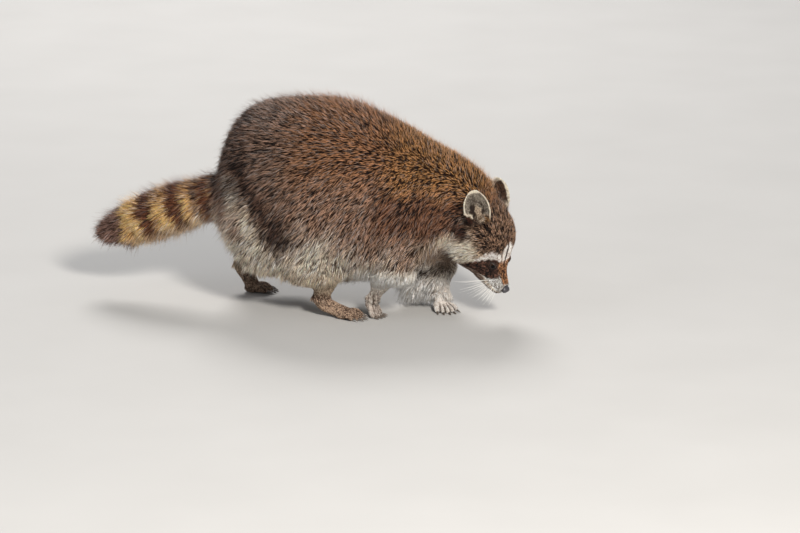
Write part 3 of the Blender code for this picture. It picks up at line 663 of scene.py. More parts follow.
def lie_of_coat(points, n, shares):
    """The way the hair points at each place, flat to the skin."""
    part = dict(zip(FLESH, shares.T))
    x, y, z = points.T
    levels = [0.05, 0.09, 0.15, 0.20, 0.245, 0.272, 0.300, 0.335]
    steep = np.interp(z, levels, [68, 60, 48, 36, 26, 6, -12, -18])
    steep = np.radians(steep - 20 * ramp(x, 0.05, 0.18) * ramp(z, 0.225, 0.270))
    zero = np.zeros(len(points))
    body = np.column_stack([-np.cos(steep), 0.10 * np.sign(y), -np.sin(steep)])
    middling = ramp(np.abs(in_head(points)[:, 1]), 0.045, 0.020)
    rise = n[:, 2] + 0.7 * middling * np.maximum(n[:, 0], 0)
    neck = np.column_stack([-0.60 + zero, zero, np.interp(rise, [0.08, 0.48, 0.90], [-1.2, -0.6, 0.9])])
    total = np.zeros((len(points), 3))

    def pull(share, way):
        total[:] += share[:, None] * way

    thighs = ramp(z, 0.07, 0.11)
    pull(part["trunk"] + part["hind_leg_right"] * thighs + part["hind_leg_left"] * thighs, body)
    pull(part["trunk"] * ramp(x, 0.17, 0.24), neck - body)
    pull(part["neck"], neck)
    # tail, towards its tip
    ends = np.cumsum(np.linalg.norm(TAIL_STEPS, axis=1))
    step = np.clip(np.searchsorted(ends, along_tail(points)[0]), 0, len(TAIL_STEPS) - 1)
    pull(part["tail"], unit(TAIL_STEPS)[step])
    # legs, down the limb
    for leg in LEGS[:2]:
        pull(part[leg] * ramp(z, 0.11, 0.07), np.array([-0.30, 0, -1.0]))
    down = np.column_stack([-0.75 * ramp(z, 0.05, 0.15) - 0.12, zero, -0.9 + zero])
    pull(part["foreleg_right"], down)
    shelf = np.interp(n[:, 2], [0.0, 0.45], [-0.42, 0.9])
    pull(part["foreleg_left"], np.column_stack([shelf, zero, zero - 1.0]))
    for foot, (heading, dip) in FOOT_HEADING.items():
        h, d = math.radians(heading), math.radians(dip)
        way = np.array([math.cos(h) * math.cos(d), math.sin(h) * math.cos(d), -math.sin(d)])
        pull(part[foot], way)
    # head: back from the nose, then out and down over the cheeks
    f, left, _, turn = round_head(points)
    cheek = ramp(turn, 62, 15) * ramp(f, -0.035, -0.075)
    below = ramp(turn, -20, -60)
    ahead = -1 + 0.55 * cheek * (1 - below)
    aside = np.sign(left) * (0.10 + 0.30 * cheek) * ramp(np.abs(left), 0.001, 0.012)
    way = np.column_stack([ahead, aside, -0.95 * cheek * (1 - below) - 0.12])
    pull(part["head"], way @ HEAD_AXES)
    for name in SIDES:
        pull(part["ear_" + name], unit(head_way(*EAR_AXES[name][1])))
    lie = unit(flat_to(total, n))
    # round the eyes the hair grows away from them
    for eye in EYES:
        away = points - eye["at"]
        reach = np.linalg.norm(away, axis=1)
        away = unit(flat_to(away, np.tile(eye["out"], (len(points), 1))))
        near = (ramp(reach, 0.0165, 0.0095) * 1.6)[:, None]
        lie = unit(flat_to(lie + near * away, n))
    return lie


def eye_frame(sign):
    """Forwards along the opening, up across it, and out, as rows."""
    out = unit(head_way(EYE_OUTWARD[0], sign * EYE_OUTWARD[1], EYE_OUTWARD[2]))
    up = unit(flat_to(head_way(0.35, 0, 1.0), out))
    return np.array([np.cross(up, out) * -sign, up, out])


EYES = [
    {"name": "eye_" + name, "at": np.array(middle("eye_" + name)), "frame": eye_frame(sign)}
    for name, sign in SIDES.items()
]
for eye in EYES:
    eye["out"] = eye["frame"][2]


# ------------------------------------------------------------------ the skin


def toe_gaps(points):
    """How far each place lies in a gap between two toes, from 0 to 1."""
    deep = np.zeros(len(points))
    for foot, (heading, _) in FOOT_HEADING.items():
        h = math.radians(heading)
        ahead, across = np.array([math.cos(h), math.sin(h)]), np.array([-math.sin(h), math.cos(h)])
        long = 0.027 if foot.startswith("hind") else 0.019
        claws = [np.array(middle(node))[:2] for node in NODES if node.startswith("claw_" + foot)]
        claws.sort(key=lambda c: c @ across)
        heel = np.mean(claws, axis=0) - ahead * long * 2.4
        for a, b in zip(claws, claws[1:]):
            front = (a + b) / 2
            back = unit(heel - front)
            off = points[:, :2] - front
            down, beside = off @ back, off @ np.array([-back[1], back[0]])
            gap = hump(beside, 0, TOE_GAP_WIDTH) * ramp(down, -0.006, 0.0)
            gap = gap * ramp(down, long + 0.006, long - 0.004)
            deep = np.maximum(deep, gap * (points[:, 2] < 0.040))
    return deep


def columns(names):
    return [FLESH.index(name) for name in names]


def make_skin():
    """The skin at its depth under the coat, that depth, and the flesh it was made from."""
    mesh, owner = flesh_copies()
    tree = tree_of(mesh)
    skin = add_object("raccoon_skin", mesh)
    whole = skin.modifiers.new("whole", "REMESH")
    whole.mode = "VOXEL"
    whole.voxel_size = SKIN_VOXEL
    apply_all(skin)
    keep_largest(skin)
    mesh = skin.data
    shares = shares_of_flesh(places(mesh), tree, owner, edge_ends(mesh), 0)
    fine = shares[:, columns(FINE_PARTS)].sum(1)
    group = skin.vertex_groups.new(name="under_thick_coat")
    group.add([int(i) for i in np.nonzero(fine < 0.5)[0]], 1.0, "REPLACE")
    thin = skin.modifiers.new("thin", "DECIMATE")
    thin.ratio = FACES_KEPT
    thin.vertex_group = group.name
    apply_all(skin)
    skin.vertex_groups.clear()
    mesh = skin.data
    co, ends = places(mesh), edge_ends(mesh)
    ear_like = shares_of_flesh(co, tree, owner, ends, 0)[:, columns(EARS)].sum(1)
    co = relaxed(co, ends, 3, 0.6 * (1 - 0.7 * ear_like))
    move_to(mesh, co)
    shares = shares_of_flesh(co, tree, owner, ends, 14)
    n = normals(mesh)
    fields = coat_fields(co, n, shares)
    # never deeper than the flesh allows
    inside = tree_of(mesh)
    room = np.full(len(co), OPEN_ROOM)
    for i, (p, way) in enumerate(zip(co, n)):
        hit = inside.ray_cast(Vector(p - way * RAY_START), Vector(-way))
        if hit[3] is not None:
            room[i] = hit[3]
    depth = np.minimum(fields[:, 0], DEEPEST * relaxed(room, ends, 4) + 0.0002)
    depth = relaxed(depth, ends, 10)
    co = co - relaxed(n, ends, 2) * depth[:, None]
    co = relaxed(co, ends, 10, ramp(depth, 0.004, 0.012) * 0.8)
    # the ankles and wrists run smoothly from limb to foot
    wide = relaxed(shares, ends, 8)
    joint = sum(4 * wide[:, a] * wide[:, b] for a, b in zip(columns(LEGS), columns(FEET)))
    co = relaxed(co, ends, 40, np.clip(1.6 * joint, 0, 1))
    feet = shares[:, columns(FEET)].sum(1)
    co = co - n * (TOE_GAP_DEPTH * toe_gaps(co) * ramp(feet, 0.3, 0.7))[:, None]
    move_to(mesh, co)
    return skin, depth, tree, owner


def finish_skin(skin):
    only(skin)
    bpy.ops.object.shade_smooth()
    bpy.ops.object.mode_set(mode="EDIT")
    bpy.ops.mesh.select_all(action="SELECT")
    bpy.ops.uv.smart_project(angle_limit=math.radians(66), island_margin=0.001)
    bpy.ops.object.mode_set(mode="OBJECT")
    skin.data.uv_layers[0].name = "OFBake"


# ------------------------------------------------------------------ the coat


def ear_inside(points, n):
    """How far each place lies on the open side of an ear."""
    inner = np.zeros(len(points))
    for name in SIDES:
        facing = unit(head_way(*EAR_AXES[name][2]))
        t, across, _ = in_ear(points, name)
        close = ramp(t, -0.1, 0.1) * ramp(t, 1.3, 1.1) * ramp(np.abs(across), 1.6, 1.2)
        inner = np.maximum(inner, close * ramp(n @ facing, -0.10, 0.25))
    return inner


def set_values(mesh, name, kind, values):
    attribute = mesh.attributes.new(name, kind, "POINT")
    field = "color" if kind == "FLOAT_COLOR" else "value"
    write(attribute.data, field, values)


def rgba(colours):
    return np.column_stack([colours, np.ones(len(colours))])


class Skin:
    """The finished skin with everything that the coat needs to know at its roots."""

    def __init__(self, skin, depth, tree, owner):
        mesh = skin.data
        self.co, self.n = places(mesh), normals(mesh)
        ends = edge_ends(mesh)
        self.n = unit(relaxed(self.n, ends, 3))
        self.shares = shares_of_flesh(self.co, tree, owner, ends, 12)
        self.sharp = shares_of_flesh(self.co, tree, owner, ends, 3)
        self.fields = coat_fields(self.co, self.n, self.shares)
        self.fields[:, 0] = np.minimum(self.fields[:, 0], depth * 1.25 + 0.0003)
        lie = relaxed(lie_of_coat(self.co, self.n, self.shares), ends, 14)
        # where the coat parts or meets, it stands up rather than show the skin
        parting = ramp(np.linalg.norm(lie, axis=1), 0.9, 0.4)
        self.fields[:, 1] += parting * np.maximum(1.15 - self.fields[:, 1], 0)
        self.lie = unit(flat_to(lie, self.n))
        mesh.calc_loop_triangles()
        self.corners = read(mesh.loop_triangles, "vertices", 3, np.int32)
        loops = read(mesh.loop_triangles, "loops", 3, np.int32)
        self.uv = read(mesh.uv_layers["OFBake"].data, "uv", 2)[loops]

    def at(self, values, face, weights):
        """Values carried by the corners of the skin, at places on its faces."""
        return (values[self.corners[face]] * weights[:, :, None]).sum(1)


def scatter(skin, spacing):
    """Roots spread evenly over the skin: their faces and their weights at its corners."""
    a, b, c = (skin.co[skin.corners[:, k]] for k in range(3))
    area = np.linalg.norm(np.cross(b - a, c - a), axis=1) / 2
    want = area / spacing[skin.corners].mean(1) ** 2
    total = np.cumsum(want)
    marks = np.arange(int(total[-1])) + DRAW.uniform(0, 1, int(total[-1]))
    face = np.minimum(np.searchsorted(total, marks), len(total) - 1)
    r, s = np.sqrt(DRAW.uniform(0, 1, len(face))), DRAW.uniform(0, 1, len(face))
    return face, np.column_stack([1 - r, r * (1 - s), r * s])


def bare(points, n):
    """Places with no hair: lids, nose and the soles."""
    none = (points[:, 2] < 0.0035) & (n[:, 2] < -0.2)
    for eye in EYES:
        off = points - eye["at"]
        reach = np.linalg.norm(off, axis=1)
        beside = np.linalg.norm(flat_to(off, np.tile(eye["out"], (len(off), 1))), axis=1)
        none |= (reach < 0.0135) & (beside < BRIM_RADIUS - 0.0030)
    nose = in_head(points) - np.array([NOSE_BACK, 0, NOSE_UP])
    reach = np.linalg.norm(nose / np.array([0.0078, 0.0088, 0.0068]), axis=1)
    none |= (reach < 1.0) & (nose[:, 0] > -0.0035)
    return none


# A tuft is drawn to a point at its root and its tip. Between them stand rings of three corners,
# each with its share of the tuft's length and width. One piece has so many tufts at most.
TUFT_KINDS = {"long": ([(0.22, 0.90), (0.62, 0.90)], 16000), "short": ([(0.52, 1.0)], 32000)}
TUFT_SECTION = [(-0.5, -0.10), (0.5, -0.10), (0.0, 0.26)]  # across the tuft and out from the skin
PATCH = 0.003  # width of a tuft's own patch in the coat's map


def make_tufts(name, tufts, rings, finish):
    """One piece of the coat: closed, bent, tapering tufts in one mesh."""
    root, out, way, lift = (tufts[key] for key in ("root", "out", "way", "stand"))
    count, per = len(root), len(rings) * 3 + 2
    side = unit(np.cross(out, way))
    up = np.cross(way, side)
    reach = tufts["length"][:, None]

    def leaning(angle):
        return np.cos(angle)[:, None] * way + np.sin(angle)[:, None] * out

    knee = root + reach * 0.52 * leaning(lift + tufts["bow"])
    knee = knee + side * reach * tufts["swerve"][:, None]
    tip = root + reach * leaning(lift) + tufts["droop"]
    co = np.empty((count, per, 3))
    along = np.empty((count, per))
    for k, (t, wide) in enumerate(rings):
        core = (1 - t) ** 2 * root + 2 * t * (1 - t) * knee + t * t * tip
        w = (tufts["width"] * wide)[:, None]
        for j, (across, high) in enumerate(TUFT_SECTION):
            co[:, 3 * k + j] = core + side * w * across + up * w * high
            along[:, 3 * k + j] = t
    co[:, -2], co[:, -1] = root, tip
    along[:, -2], along[:, -1] = 0, 1
    co[:, :, 2] = np.maximum(co[:, :, 2], FLOOR_GAP)
    faces, uvs = [], []
    last = 3 * (len(rings) - 1)
    for j in range(3):
        follow = (j + 1) % 3
        u, v, mid = j / 3, (j + 1) / 3, (j + 0.5) / 3
        faces.append((follow, j, per - 2))
        uvs.append(((v, rings[0][0]), (u, rings[0][0]), (mid, 0)))
        for k in range(len(rings) - 1):
            t, t_next = rings[k][0], rings[k + 1][0]
            a, b = 3 * k + j, 3 * k + follow
            faces.append((a, b, b + 3, a + 3))
            uvs.append(((u, t), (v, t), (v, t_next), (u, t_next)))
        faces.append((last + j, last + follow, per - 1))
        uvs.append(((u, rings[-1][0]), (v, rings[-1][0]), (mid, 1)))
    corner = np.concatenate([np.array(f) for f in faces])
    sizes = np.array([len(f) for f in faces])
    starts = np.concatenate([[0], np.cumsum(sizes)[:-1]])
    mesh = bpy.data.meshes.new(name)
    mesh.vertices.add(count * per)
    write(mesh.vertices, "co", co)
    mesh.loops.add(count * len(corner))
    step = np.arange(count)[:, None]
    write(mesh.loops, "vertex_index", corner + step * per, np.int32)
    mesh.polygons.add(count * len(sizes))
    write(mesh.polygons, "loop_start", starts + step * len(corner), np.int32)
    mesh.update(calc_edges=True)
    local = np.array([p for face in uvs for p in face]) - 0.5
    uv = np.clip(tufts["uv"], PATCH, 1 - PATCH)[:, None, :] + local[None] * PATCH
    write(mesh.uv_layers.new(name="OFBake").data, "uv", uv)
    set_values(mesh, "tip_tone", "FLOAT_COLOR", rgba(np.repeat(tufts["tip"], per, axis=0)))
    set_values(mesh, "root_tone_and_shade", "FLOAT_COLOR", rgba(np.repeat(tufts["base"], per, axis=0)))
    set_values(mesh, "along", "FLOAT", along)
    set_values(mesh, "chance", "FLOAT", np.repeat(tufts["chance"], per))
    cover(mesh, finish)
    piece = add_object(name, mesh)
    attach(piece, "root")


def plan_tufts(skin):
    """Every tuft of the coat: where it is rooted, how it lies and what colour it has."""
    face, weights = scatter(skin, skin.fields[:, 3])
    root, n = skin.at(skin.co, face, weights), unit(skin.at(skin.n, face, weights))
    keep = ~bare(root, n)
    face, weights, root, n = face[keep], weights[keep], root[keep], n[keep]
    way = unit(flat_to(skin.at(skin.lie, face, weights), n))
    depth, stand, width, _, length = skin.at(skin.fields, face, weights).T
    shares, sharp = skin.at(skin.shares, face, weights), skin.at(skin.sharp, face, weights)
    count = len(root)
    loose = ramp(depth, 0.001, 0.010)
    # locks of hair lean together a little, and each tuft strays from its lock
    hanging = loose * ramp(root[:, 2], 0.150, 0.100) * ramp(n[:, 2], 0.5, 0.0)
    lean = (0.05 + 0.05 * loose) * drift(root, 0.022, 4) + (0.07 + 0.13 * loose) * DRAW.normal(size=count)
    lean = lean + 0.30 * hanging * drift(root, 0.010, 5)
    stray = (0.04 + 0.12 * loose) * DRAW.normal(size=count)
    # a few hairs that stand together share their lean and, mostly, their colour
    stray = stray + 0.14 * loose * (lot(root, LOCK_SIZE, 1) - 0.5)
    lean = lean + 0.22 * loose * (lot(root, LOCK_SIZE, 2) - 0.5)
    side = np.cross(n, way)
    way = unit(way * np.cos(lean)[:, None] + side * np.sin(lean)[:, None])
    reach = depth / np.sin(np.clip(stand, 0.15, 1.4)) * length
    reach = reach * (1 + hanging * (0.20 * drift(root, 0.014, 3) - 0.04))
    reach = np.clip(reach, 0.0026, LONGEST)
    # the colour is that of the place where the tip shows
    seen = root + 0.8 * reach[:, None] * (np.cos(stand)[:, None] * way + np.sin(stand)[:, None] * n)
    tones = markings(seen, sharp, ear_inside(root, n))
    light, dark, share = tones[:, :3], tones[:, 3:6], tones[:, 6]
    chance = DRAW.uniform(0, 1, count)
    mottle = 0.12 * drift(root, 0.007, 1)
    shared = DRAW.uniform(0, 1, count) < 0.68 - 0.18 * loose
    is_light = np.where(shared, lot(root, LOCK_SIZE, 3), DRAW.uniform(0, 1, count)) + mottle < share
    topside = ramp(n[:, 2], 0.55, 0.85)
    guard = is_light & (DRAW.uniform(0, 1, count) < (0.16 + 0.10 * topside) * loose)
    # pale hairs stand a little proud of the dark ones, and a few thin ones further still
    reach = reach * DRAW.uniform(0.84, 1.10, count) * np.where(is_light, 1.0, 1 - 0.12 * loose)
    reach = np.minimum(reach * np.where(guard, 1.16 + 0.12 * topside, 1.0), LONGEST)
    proud = (0.26 + 0.14 * topside) * guard
    stand = np.clip(stand + stray + 0.05 * loose * is_light + proud, 0.06, 1.35)
    width = width * DRAW.uniform(0.75, 1.2, count) * np.where(guard, 0.62, 1.0)
    width = width * np.where(is_light, 0.92, 1.12)
    vary = (0.62 + 0.42 * lot(root, LOCK_SIZE, 4) + DRAW.uniform(0, 0.30, count))[:, None]
    tip_tone = np.where(is_light[:, None], light, dark) * vary
    grey = tip_tone.mean(1, keepdims=True)
    tip_tone = np.where(guard[:, None], 1.10 * (0.45 * tip_tone + 0.55 * grey), tip_tone)
    # roots darker than the dark hairs: partly the dark underfur, partly painted shade deep in the coat
    base = dark * (0.40 + 0.34 * share[:, None]) * DRAW.uniform(0.75, 1.1, count)[:, None]
    pale = ramp(share, 0.60, 0.74)[:, None]
    base = base * (1 - pale) + (0.35 * light + 0.5 * dark) * pale
    droop = np.zeros((count, 3))
    droop[:, 2] = -0.10 * reach * loose
    return {
        "root": root - n * (0.0004 + 0.0016 * loose)[:, None],
        "out": n,
        "way": way,
        "stand": stand,
        "bow": 0.20 + 0.10 * loose,
        "swerve": 0.14 * loose * (2 * lot(root, LOCK_SIZE, 5) - 1) + 0.04 * DRAW.normal(size=count),
        "length": reach,
        "width": width,
        "droop": droop,
        "uv": (skin.uv[face] * weights[:, :, None]).sum(1),
        "tip": np.clip(tip_tone, 0, 0.95),
        "base": np.clip(base, 0, 0.95),
        "chance": chance,
        "part": shares.argmax(1),
    }


def plan_lid_hair(skin, tree, eye):
    """The shortest hair of all, over both lids of one eye, growing away from the opening."""
    way = unit(DRAW.normal(size=(LID_HAIRS, 3)))
    way = way[(gap_from_opening(way) > 0.17) & (way[:, 2] > math.cos(BRIM_TO))]
    count = len(way)
    here = shape_of_lids(way, eye, tree)
    step = 0.02 * unit(np.cross(way, [0.3, 0.5, 0.8]))
    one = shape_of_lids(unit(way + step), eye, tree) - here
    two = shape_of_lids(unit(way + np.cross(way, step)), eye, tree) - here
    out = unit(np.cross(one, two))
    out = out * np.sign((out * way).sum(1, keepdims=True))
    spread = way * np.array([1.0, 1.5, 0.0]) + np.array([-0.25, 0, 0]) + 0.16 * DRAW.normal(size=(count, 3))
    spread = unit(flat_to(spread, out))
    root = eye["at"] + here @ eye["frame"] - out @ eye["frame"] * 0.0002
    near = [tree.find_nearest(Vector(p))[2] for p in root]
    tones = markings(root, skin.sharp[skin.corners[near, 0]], np.zeros(count))
    edge = ramp(gap_from_opening(way), 0.55, 0.30)[:, None]
    tones = tones + edge * (TONES["mask"] - tones)
    pick = (DRAW.uniform(0, 1, count) < 0.8 * tones[:, 6])[:, None]
    tip = np.where(pick, tones[:, :3], tones[:, 3:6]) * DRAW.uniform(0.7, 1.2, count)[:, None]
    return {
        "root": root,
        "out": out @ eye["frame"],
        "way": spread @ eye["frame"],
        "stand": DRAW.uniform(0.08, 0.30, count),
        "bow": np.full(count, 0.15),
        "swerve": np.zeros(count),
        "length": DRAW.uniform(0.8, 1.2, count) * np.interp(way[:, 2], [-0.2, 0.4], [0.0048, 0.0026]),
        "width": DRAW.uniform(0.0004, 0.0006, count),
        "droop": np.zeros((count, 3)),
        "uv": skin.uv[near].mean(1),
        "tip": tip,
        "base": tones[:, 3:6],
        "chance": DRAW.uniform(0, 1, count),
        "part": np.zeros(count, int),
    }


def make_coat(skin, tree, finish):
    """The whole coat, in one piece or more for each part of the body."""
    plans = [plan_tufts(skin)] + [plan_lid_hair(skin, tree, eye) for eye in EYES]
    tufts = {key: np.concatenate([plan[key] for plan in plans]) for key in plans[0]}
    longish = tufts["length"] > LONG_FROM
    for index, part in enumerate(FLESH):
        for kind, (rings, most) in TUFT_KINDS.items():
            chosen = np.nonzero((tufts["part"] == index) & (longish == (kind == "long")))[0]
            if not len(chosen):
                continue
            order = chosen[np.argsort(tufts["root"][chosen, 0], kind="stable")]
            for k, some in enumerate(np.array_split(order, -(-len(order) // most))):
                rows = {key: value[some] for key, value in tufts.items()}
                name = f"coat_{part}_{kind}_{k + 1}"
                make_tufts(name, rows, rings, finish)


# ------------------------------------------------------------------ finishes


class Wire:
    """A shader socket that arithmetic works on, each sum adding its Math node."""

    def __init__(self, finish, socket):
        self.finish, self.socket = finish, socket

    def _sum(self, operation, first, second):
        return self.finish.node("ShaderNodeMath", {"operation": operation}, {0: first, 1: second})[0]

    def __add__(self, other):
        return self._sum("ADD", self, other)

    __radd__ = __add__

    def __mul__(self, other):
        return self._sum("MULTIPLY", self, other)

    __rmul__ = __mul__

    def __sub__(self, other):
        return self._sum("SUBTRACT", self, other)

    def __rsub__(self, other):
        return self._sum("SUBTRACT", other, self)

    def clear(self, lo=0.0, hi=1.0):
        """0 below lo and 1 above hi."""
        settings = {"interpolation_type": "SMOOTHSTEP"}
        values = {"Value": self, "From Min": lo, "From Max": hi}
        return self.finish.node("ShaderNodeMapRange", settings, values)[0]


class Finish:
    """A material being built round one Principled shader."""

    def __init__(self, name, **constants):
        self.material = bpy.data.materials.new(name)
        self.material.use_nodes = True
        self.tree = self.material.node_tree
        self.shader = self.tree.nodes["Principled BSDF"]
        for key, value in constants.items():
            self.shader.inputs[key.replace("_", " ")].default_value = value

    def node(self, kind, settings=(), values=()):
        """A node's outputs, after its settings are made and its sockets filled."""
        node = self.tree.nodes.new(kind)
        for key, value in dict(settings).items():
            setattr(node, key, value)
        for key, value in dict(values).items():
            socket = node.inputs[key]
            if isinstance(value, Wire):
                self.tree.links.new(value.socket, socket)
            else:
                socket.default_value = value
        return [Wire(self, o) for o in node.outputs if o.enabled]

    def colours(self, name):
        return self.node("ShaderNodeAttribute", {"attribute_name": name})[0]

    def values(self, name):
        return self.node("ShaderNodeAttribute", {"attribute_name": name})[2]

    def place(self):
        """The place on the object."""
        return self.node("ShaderNodeTexCoord")[3]

    def noise(self, scale, detail):
        values = {"Vector": self.place(), "Scale": scale, "Detail": detail}
        return self.node("ShaderNodeTexNoise", {"noise_dimensions": "3D"}, values)[0]

    def mix(self, factor, first, second):
        return self.node("ShaderNodeMix", {"data_type": "RGBA"}, {0: factor, 6: first, 7: second})[0]

    def scaled(self, colour, amount):
        """A colour made lighter or darker by a value."""
        values = {0: colour, "Scale": amount}
        return self.node("ShaderNodeVectorMath", {"operation": "SCALE"}, values)[0]

    def feed(self, **links):
        for key, wire in links.items():
            self.tree.links.new(wire.socket, self.shader.inputs[key.replace("_", " ")])

    def bump(self, height, strength, distance):
        values = {"Height": height, "Strength": strength, "Distance": distance}
        self.feed(Normal=self.node("ShaderNodeBump", {}, values)[0])


def coat_finish():
    """Hair: dark at the root, partly its own underfur and partly painted shade, its own tone towards the
    tip, with grain and a dull gloss.
    """
    finish = Finish("raccoon_coat", Specular_IOR_Level=0.28)
    along, chance = finish.values("along"), finish.values("chance")
    shown = (along + chance * 0.24).clear(0.47, 0.88)
    colour = finish.mix(shown, finish.colours("root_tone_and_shade"), finish.colours("tip_tone"))
    grain = finish.noise(620.0, 2.0)
    patch = finish.noise(38.0, 2.0)
    finish.feed(
        Base_Color=finish.scaled(colour, 0.72 + grain * 0.30 + patch * 0.26),
        Roughness=0.50 + grain * 0.22,
    )
    return finish.material


def skin_finish():
    """Bare skin and the short down close to it, in the markings of the coat, darkened as painted shade
    under the hairs.
    """
    finish = Finish("raccoon_skin", Specular_IOR_Level=0.30)
    grain, pores = finish.noise(900.0, 3.0), finish.noise(240.0, 2.0)
    finish.feed(
        Base_Color=finish.scaled(finish.colours("skin_tone_and_shade"), 0.62 + grain * 0.5 + pores * 0.2),
        Roughness=0.55 + pores * 0.25,
    )
    finish.bump(grain + pores * 0.6, 0.5, 0.0004)
    return finish.material


def eye_finish():
    finish = Finish("raccoon_eye", Specular_IOR_Level=0.12)
    gleam = finish.noise(420.0, 3.0)
    reach = finish.values("from_pupil")
    iris = finish.mix(gleam, (0.012, 0.006, 0.003, 1), (0.040, 0.019, 0.009, 1))
    dark = finish.mix(reach.clear(0.40, 0.46), (0.0015, 0.0013, 0.0012, 1), iris)
    edge = finish.mix(reach.clear(0.80, 0.98), dark, (0.010, 0.006, 0.005, 1))
    finish.feed(Base_Color=edge, Roughness=0.06 + gleam * 0.05)
    return finish.material


def nose_finish():
    finish = Finish("raccoon_nose", Specular_IOR_Level=0.5, Coat_Weight=0.25, Coat_Roughness=0.25)
    values = {"Vector": finish.place(), "Scale": 900.0}
    pebbles = finish.node("ShaderNodeTexVoronoi", {"feature": "F1"}, values)[0]
    tint = finish.noise(160.0, 2.0)
    colour = finish.mix(tint, (0.020, 0.018, 0.020, 1), (0.085, 0.078, 0.088, 1))
    finish.feed(Base_Color=finish.scaled(colour, 1.15 - pebbles * 0.5), Roughness=0.30 + pebbles * 0.35)
    finish.bump(1 - pebbles, 0.5, 0.0003)
    return finish.material


def grained_finish(name, gloss, grain, low, high, rough, bump=None):
    """One grain runs through the colour, from low to high, through the roughness and the bump."""
    finish = Finish(name, Specular_IOR_Level=gloss)
    grain = finish.noise(*grain)
    finish.feed(Base_Color=finish.mix(grain, (*low, 1), (*high, 1)), Roughness=rough[0] + grain * rough[1])
    if bump:
        finish.bump(grain, *bump)
    return finish.material


# ------------------------------------------------------------------ eyes, nose and whiskers


def make_eye(eye, finish):
    """An eyeball with a domed cornea, turned to look outwards."""
    ball = add_ball("eyeball_" + eye["name"][4:], 48, 32, EYE_RADIUS)
    mesh = ball.data
    co = places(mesh)
    level = co[:, 2] / EYE_RADIUS
    co += unit(co) * (0.0007 * ramp(level, 0.70, 0.98))[:, None]
    reach = np.degrees(np.arccos(np.clip(level, -1, 1))) / 62
    turn = Vector(eye["out"]).to_track_quat("Z", "Y").to_matrix()
    co = co @ np.array(turn).T + eye["at"]
    move_to(mesh, co)
    set_values(mesh, "from_pupil", "FLOAT", reach)
    cover(mesh, finish)
    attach(ball, "root")
    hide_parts(eye["name"])


def gap_from_opening(way):
    """Angle from the edge of the opening between the lids, less than 0 within it."""
    across = np.arctan2(way[:, 0], np.maximum(way[:, 2], 1e-3))
    rise = np.arcsin(np.clip(way[:, 1], -1, 1))
    arch = 1 - (across / OPENING[0]) ** 2
    edge = np.where(rise > 0, OPENING[1], OPENING[2]) * np.maximum(arch, 0)
    beyond = np.hypot(np.maximum(np.abs(across) - OPENING[0], 0), rise)
    gap = np.where(np.abs(across) < OPENING[0], np.abs(rise) - edge, beyond)
    return np.where(way[:, 2] > 0, gap, np.maximum(gap, 1.0))


def shape_of_lids(way, eye, surface):
    """Where the lids' cap lies for ways out of the eye's middle: over the ball, then out to the face."""
    tilt = np.arccos(np.clip(way[:, 2], -1, 1))
    around = unit(np.column_stack([way[:, :2] + 1e-9, np.zeros(len(way))]))
    gap = gap_from_opening(way)
    lid = EYE_RADIUS - 0.0008 + ramp(gap, -0.04, 0.05) * (0.0008 + LID_THICKNESS)
    lid = lid + 0.0004 * hump(gap, 0.09, 0.07)
    # the height of the face all round, read from the skin by rays that start outside it
    steps = np.linspace(-math.pi, math.pi, 49)
    level = []
    for a in steps:
        spot = np.array([math.cos(a), math.sin(a), 0]) * BRIM_RADIUS
        start = eye["at"] + (spot + np.array([0, 0, RAY_HEIGHT])) @ eye["frame"]
        hit = surface.ray_cast(Vector(start), Vector(-eye["out"]))
        level.append(RAY_HEIGHT - hit[3] if hit[3] is not None else 0.0)
    level = (np.roll(level, 1) + level + np.roll(level, -1)) / 3
    brim = np.interp(np.arctan2(way[:, 1], way[:, 0]), steps, level) - BRIM_SUNK
    start_wide, start_high = lid * math.sin(BRIM_FROM), lid * math.cos(BRIM_FROM)
    t = np.clip((tilt - BRIM_FROM) / (BRIM_TO - BRIM_FROM), 0, 1)
    wide = start_wide + (BRIM_RADIUS - start_wide) * t
    high = start_high + (brim - start_high) * ramp(t, -0.15, 1)
    behind = np.clip((tilt - BRIM_TO) / (math.pi - BRIM_TO), 0, 1) * math.pi / 2
    wide = np.where(behind > 0, BRIM_RADIUS * np.cos(behind), wide)
    high = np.where(behind > 0, brim * np.cos(behind) - 0.005 * np.sin(behind), high)
    flared = around * wide[:, None]
    flared[:, 2] = high
    return np.where((tilt > BRIM_FROM)[:, None], flared, way * lid[:, None])


def make_lids(eye, surface, finish):
    """Both lids as one closed cap over the eyeball, parted in an almond, its brim in the face."""
    cap = add_ball("lids_" + eye["name"][4:], 96, 80)
    way = unit(places(cap.data))
    move_to(cap.data, shape_of_lids(way, eye, surface) @ eye["frame"] + eye["at"])
    face_outwards(cap.data)
    cover(cap.data, finish)
    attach(cap, "root")


